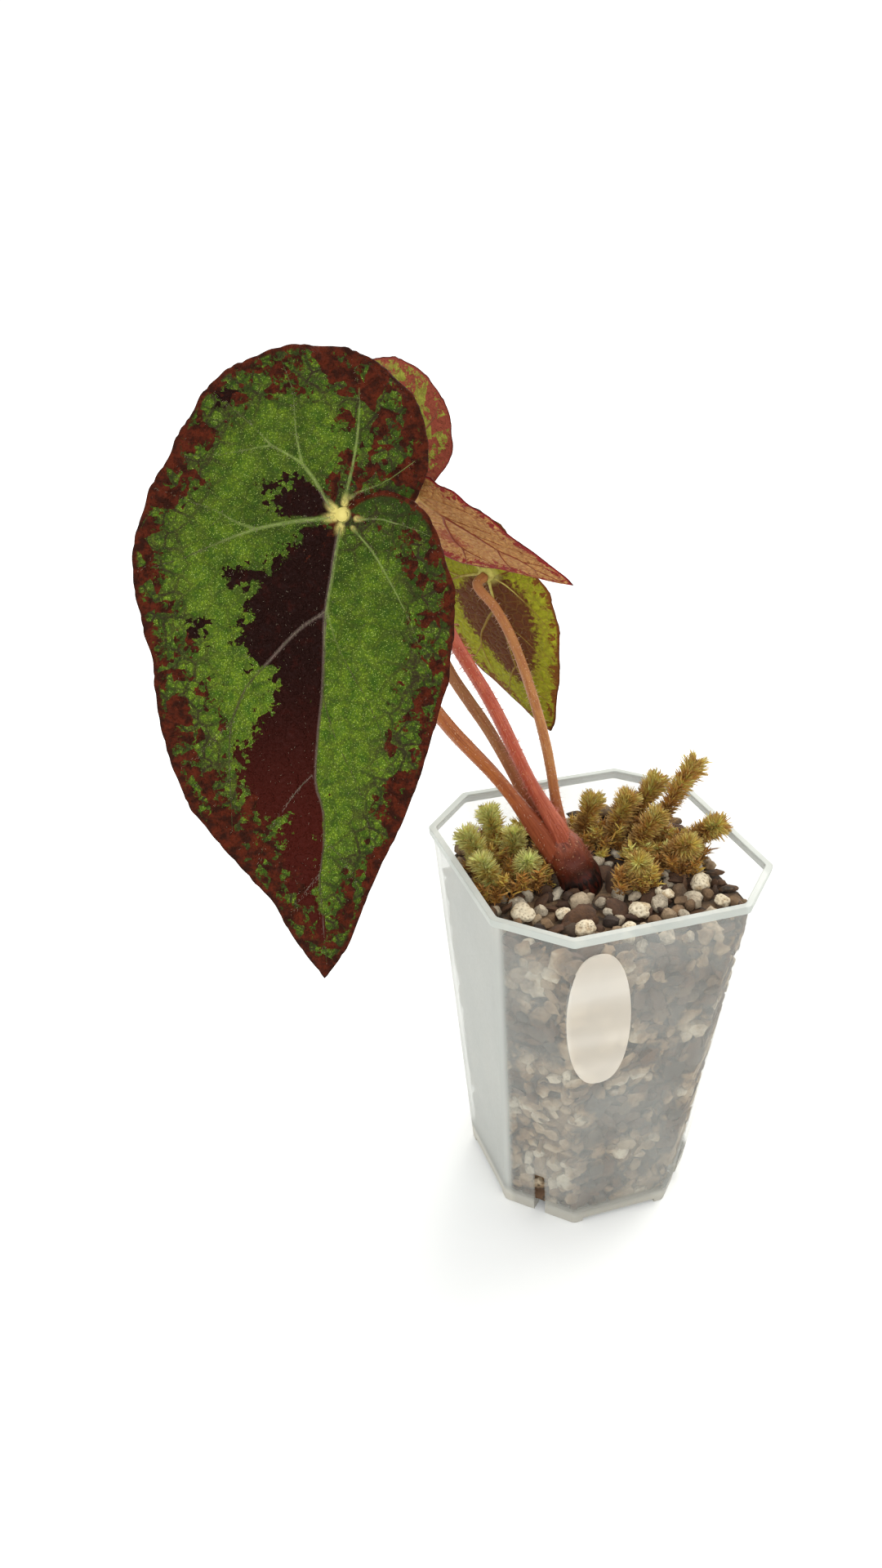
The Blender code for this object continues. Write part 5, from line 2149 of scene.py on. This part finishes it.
def place_fronds(
    piece: Piece, roots: Array, ways: Array, lengths: Array, widths: Array, tone: Array, draw: Chance
) -> None:
    """Place a small moss leaf on each root.

    Args:
        piece: The piece that the leaves join.
        roots: Where the leaves grow.
        ways: Which way each one points.
        lengths: Their lengths.
        widths: Their widths.
        tone: Their age from 0 to 1.
        draw: The source of chance for their spins.
    """
    mold = frond_mold()
    ahead = unit(ways)
    helper = draw.normal(0, 1, ahead.shape)
    side = unit(np.cross(ahead, helper))
    up = np.cross(ahead, side)
    x, y, z = mold.places.T
    places = (
        roots[:, None, :]
        + side[:, None, :] * (x[None, :, None] * widths[:, None, None])
        + up[:, None, :] * (y[None, :, None] * lengths[:, None, None] * 0.5)
        + ahead[:, None, :] * (z[None, :, None] * lengths[:, None, None])
    )
    piece.place_many(mold, places * MM, 0, tone=tone, out=np.tile(z, (len(roots), 1)))


@dataclass
class MossSprig:
    """One upright moss sprig, leafy from the ground to its full head."""

    number: int
    finish: MossFinish
    leaves: int = 1000
    body: float = 3.5
    rings: int = 40

    def build(self) -> None:
        """Build the sprig and dress it."""
        foot, lean, length, head = MOSS[self.number]
        draw = np.random.default_rng(60 + self.number)
        name = f"{self.number + 1:02d}"
        piece = Piece("moss_sprig_" + name)
        route = smooth_route(moss_route(foot, lean, length), self.rings + 1)
        run = np.linspace(0, 1, self.rings + 1)
        radii = np.interp(run, [0, 0.7, 1], [0.8, 0.7, 0.35])
        piece.place(rod_along(route * MM, radii * MM, 8, self.rings), 0, tone=0.12)
        buried = MOSS_DEPTH / (MOSS_DEPTH + length)
        share = buried + (1 - buried) * draw.beta(1.7, 0.95, self.leaves)
        roots = np.stack([np.interp(share, run, route[:, k]) for k in range(3)], axis=1)
        ahead = unit(np.gradient(route, axis=0))[(share * self.rings).astype(int)]
        top = ease(0.72, 1.0, share)[:, None]
        away = draw.normal(0, 1, (self.leaves, 3))
        away = unit(away - ahead * np.sum(away * ahead, axis=1)[:, None])
        ways = away * (1 - 0.3 * top * draw.uniform(0, 2, (self.leaves, 1))) + ahead * (0.4 + 0.3 * top)
        envelope = self.body + (head * 1.36 - self.body) * top[:, 0] - 0.9 * ease(0.9, 1.0, share)
        lengths = envelope * draw.uniform(0.7, 1.12, self.leaves)
        widths = draw.uniform(*FROND_WIDTHS, self.leaves)
        base = (0.62 if foot[0] < 0 else 0.24) + 0.36 * ease(0.5, 1.0, share)
        tone = np.clip(base + draw.normal(0, 0.12, self.leaves), 0, 1)
        place_fronds(piece, roots, ways, lengths, widths, tone, draw)
        thing = piece.finish([self.finish.coat()])
        hand_over(thing, "moss", "moss_" + name)


@dataclass
class MossMat:
    """The low moss that creeps over the mix between the sprigs."""

    finish: MossFinish
    tufts: int = 210
    leaves: int = 72
    height: Pair = (1.5, 7.5)

    def spots(self, draw: Chance) -> Array:
        """Pick places for the tufts, near the feet of the sprigs.

        Args:
            draw: The source of chance.

        Returns:
            The places in millimetres.
        """
        found = []
        while len(found) < self.tufts:
            foot, lean, _, _ = MOSS[draw.integers(len(MOSS))]
            x = foot[0] + lean[0] * 0.3 + draw.normal(0, 3.0)
            y = foot[1] + lean[1] * 0.3 + draw.normal(0, 3.0)
            if abs(x) < 31 and abs(y) < 31 and abs(x) + abs(y) < 50 and math.hypot(x + 3, y - 2) > 8:
                found.append((x, y, soil_height(x, y) - 0.5))
        return np.array(found)

    def build(self) -> None:
        """Build the mat and dress it."""
        draw = np.random.default_rng(90)
        piece = Piece("moss_mat")
        tall = np.repeat(draw.uniform(*self.height, self.tufts), self.leaves)
        lean = np.repeat(draw.normal(0, 0.3, (self.tufts, 2)), self.leaves, axis=0)
        spots = np.repeat(self.spots(draw), self.leaves, axis=0)
        count = len(spots)
        rise = draw.uniform(0, 1, count) ** 0.7 * tall
        stem = np.column_stack([lean[:, 0] * rise, lean[:, 1] * rise, rise])
        roots = spots + stem + draw.normal(0, 0.35, (count, 3))
        away = draw.normal(0, 1, (count, 3)) * np.array([1, 1, 0.3])
        ways = unit(away) + np.array([0, 0, 0.7])
        lengths = draw.uniform(1.7, 3.2, count)
        widths = draw.uniform(*FROND_WIDTHS, count)
        tuft_tone = np.repeat(draw.uniform(0.05, 0.6, self.tufts), self.leaves)
        tone = np.clip(tuft_tone + draw.normal(0, 0.1, count) + 0.03 * rise, 0, 1)
        place_fronds(piece, roots, ways, lengths, widths, tone, draw)
        hand_over(piece.finish([self.finish.coat()]), "moss")


# Studio


@dataclass
class Studio:
    """The pale floor, the soft lights and the camera."""

    place: Triple = (-0.1325, -0.2637, 0.2764)
    ahead: Triple = (0.28454, 0.83584, -0.46947)
    lens: float = 30.0
    aim: Triple = (-0.03, 0, 0.14)

    def camera(self) -> None:
        """Set the camera at the viewing angle."""
        data = bpy.data.cameras.new("camera")
        data.lens = self.lens
        data.sensor_width = 36
        thing = add_thing("camera", data)
        thing.location = self.place
        thing.rotation_euler = Vector(self.ahead).to_track_quat("-Z", "Y").to_euler()
        bpy.context.scene.camera = thing

    def floor(self) -> None:
        """Lay the pale floor, greyer round the pot as painted shade."""
        bm = bmesh.new()
        bmesh.ops.create_grid(bm, x_segments=1, y_segments=1, size=30.0)
        thing = show("pale_floor", bm)
        paint = Paint("pale_floor")
        away = paint.node("VectorMath", {0: paint.place()}, operation="LENGTH").outputs["Value"]
        # Painted shade: the floor is greyer near the pot and pales to white far off.
        tint = paint.mix(paint.band(away, 0.35, 2.2), (238, 239, 237), (252, 253, 254))
        thing.data.materials.append(paint.set(Base_Color=tint, Roughness=0.8, Specular_IOR_Level=0.2))

    def light(self, name: str, power: float, size: float, place: Triple, tint: Rgb) -> None:
        """Hang a soft square light that looks at the plant.

        Args:
            name: The light's name.
            power: Its power in watts.
            size: The length of its side.
            place: Where it hangs.
            tint: Its colour.
        """
        data = bpy.data.lights.new(name, "AREA")
        data.energy = power
        data.shape = "SQUARE"
        data.size = size
        data.color = colour(tint)[:3]
        thing = add_thing(name, data)
        thing.location = place
        aim = Vector(self.aim) - Vector(place)
        thing.rotation_euler = aim.to_track_quat("-Z", "Y").to_euler()

    def surround(self) -> None:
        """Fill the surroundings with soft white."""
        world = bpy.data.worlds.new("white_room")
        world.use_nodes = True
        back = world.node_tree.nodes["Background"]
        back.inputs["Color"].default_value = (1.0, 1.0, 1.0, 1)
        back.inputs["Strength"].default_value = 1.08
        bpy.context.scene.world = world

    def build(self) -> None:
        """Set the whole studio up."""
        self.camera()
        self.floor()
        self.light("window", 16, 1.3, (0.75, 0.55, 0.9), (255, 252, 246))
        self.light("front_fill", 6, 0.8, (-0.6, -0.9, 0.7), (246, 250, 255))
        self.surround()
        bpy.context.scene.view_settings.view_transform = "Standard"


MAIN_LOOK = LeafFinish("main")
BACK_LOOK = LeafFinish("back")
SIDE_LOOK = LeafFinish(
    "side", under=(196, 150, 92), under_deep=(170, 112, 70), under_margin=(140, 38, 42),
    under_vein=(118, 58, 36), under_patch=(160, 84, 62), under_star=(196, 164, 104),
)
REAR_LOOK = LeafFinish(
    "rear", under=(156, 156, 40), under_deep=(134, 132, 32), under_margin=(116, 66, 30),
    under_vein=(134, 110, 48), under_patch=(92, 44, 32), under_star=(196, 190, 100),
)


# Colours of each stalk: its foot, its middle, its neck and its streaks
MAIN_FLESH: tuple[Rgb, ...] = ((140, 70, 44), (160, 92, 42), (150, 82, 42), (112, 50, 26))
BACK_FLESH: tuple[Rgb, ...] = ((142, 70, 46), (148, 100, 58), (138, 90, 52), (112, 62, 36))
SIDE_FLESH: tuple[Rgb, ...] = ((142, 68, 46), (158, 66, 44), (150, 56, 42), (186, 102, 74))
REAR_FLESH: tuple[Rgb, ...] = ((146, 76, 50), (174, 120, 68), (164, 110, 62), (140, 80, 48))


def leaves() -> list[Leaf]:
    """List the four leaves, the largest first."""
    return [
        Leaf("main", (-73.4, -33.9, 207.0), (-89.9, -70.6, 132.2), (-0.26, -0.84, 0.47), MAIN_LOOK,
             spokes=400, rings=84, bristles=1500),
        Leaf("back", (-47.4, 23.4, 200.9), (-77.9, 42.3, 160.2), (0.73, 0.63, -0.25), BACK_LOOK,
             hand=-1, near=1.22, far=1.1, cup=4.2, fold=0.11, curl=2.0, rim=1.1),
        Leaf("side", (-53.4, -13.1, 203.9), (-19.6, -18.2, 182.1), (0.54, 0.43, 0.73), SIDE_LOOK,
             hand=-1, near=0.91, far=1.24, cup=4.1, fold=0.06, curl=-1.7, patches=SIDE_PATCHES,
             rim=0.8),
        Leaf("rear", (-26.4, 13.3, 175.7), (-7.9, 17.5, 128.5), (0.72, 0.61, 0.34), REAR_LOOK,
             hand=-1, near=1.05, far=0.95, cup=0.3, fold=0.14, curl=-1.2, patches=REAR_PATCHES,
             rim=0.6),
    ]


def stalks(grown: list[Leaf]) -> list[Stalk]:
    """List the stalks of the leaves, each with its own colours.

    Args:
        grown: The four leaves.

    Returns:
        The stalks in the leaves' order.
    """
    main, back, side, rear = grown
    pale = HairFinish("pale_hairs", (170, 110, 76), (226, 200, 176))
    red = HairFinish("red_hairs", (160, 66, 52), (220, 150, 134))
    return [
        Stalk(main, FleshFinish("main_stalk", *MAIN_FLESH), pale),
        Stalk(back, FleshFinish("back_stalk", *BACK_FLESH), pale),
        Stalk(side, FleshFinish("side_stalk", *SIDE_FLESH), red, hairs=700, hair_length=1.7),
        Stalk(rear, FleshFinish("rear_stalk", *REAR_FLESH), pale),
    ]


def main() -> None:
    """Build the plant, its pot and the studio."""
    logging.basicConfig(level=logging.INFO, format="%(name)s %(message)s", force=True)
    grown = leaves()
    for leaf in grown:
        leaf.build()
    for stalk in stalks(grown):
        stalk.build()
    Crown().build()
    pot = Pot()
    pot.build()
    GrowingMix(pot).build()
    stone = PumiceFinish("pumice_stone")
    for number in range(len(PUMICE)):
        PumiceGrain(number, stone).build()
    moss = MossFinish("moss")
    for number in range(len(MOSS)):
        MossSprig(number, moss).build()
    MossMat(moss).build()
    Studio().build()
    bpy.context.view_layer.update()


if __name__ == "__main__":
    main()
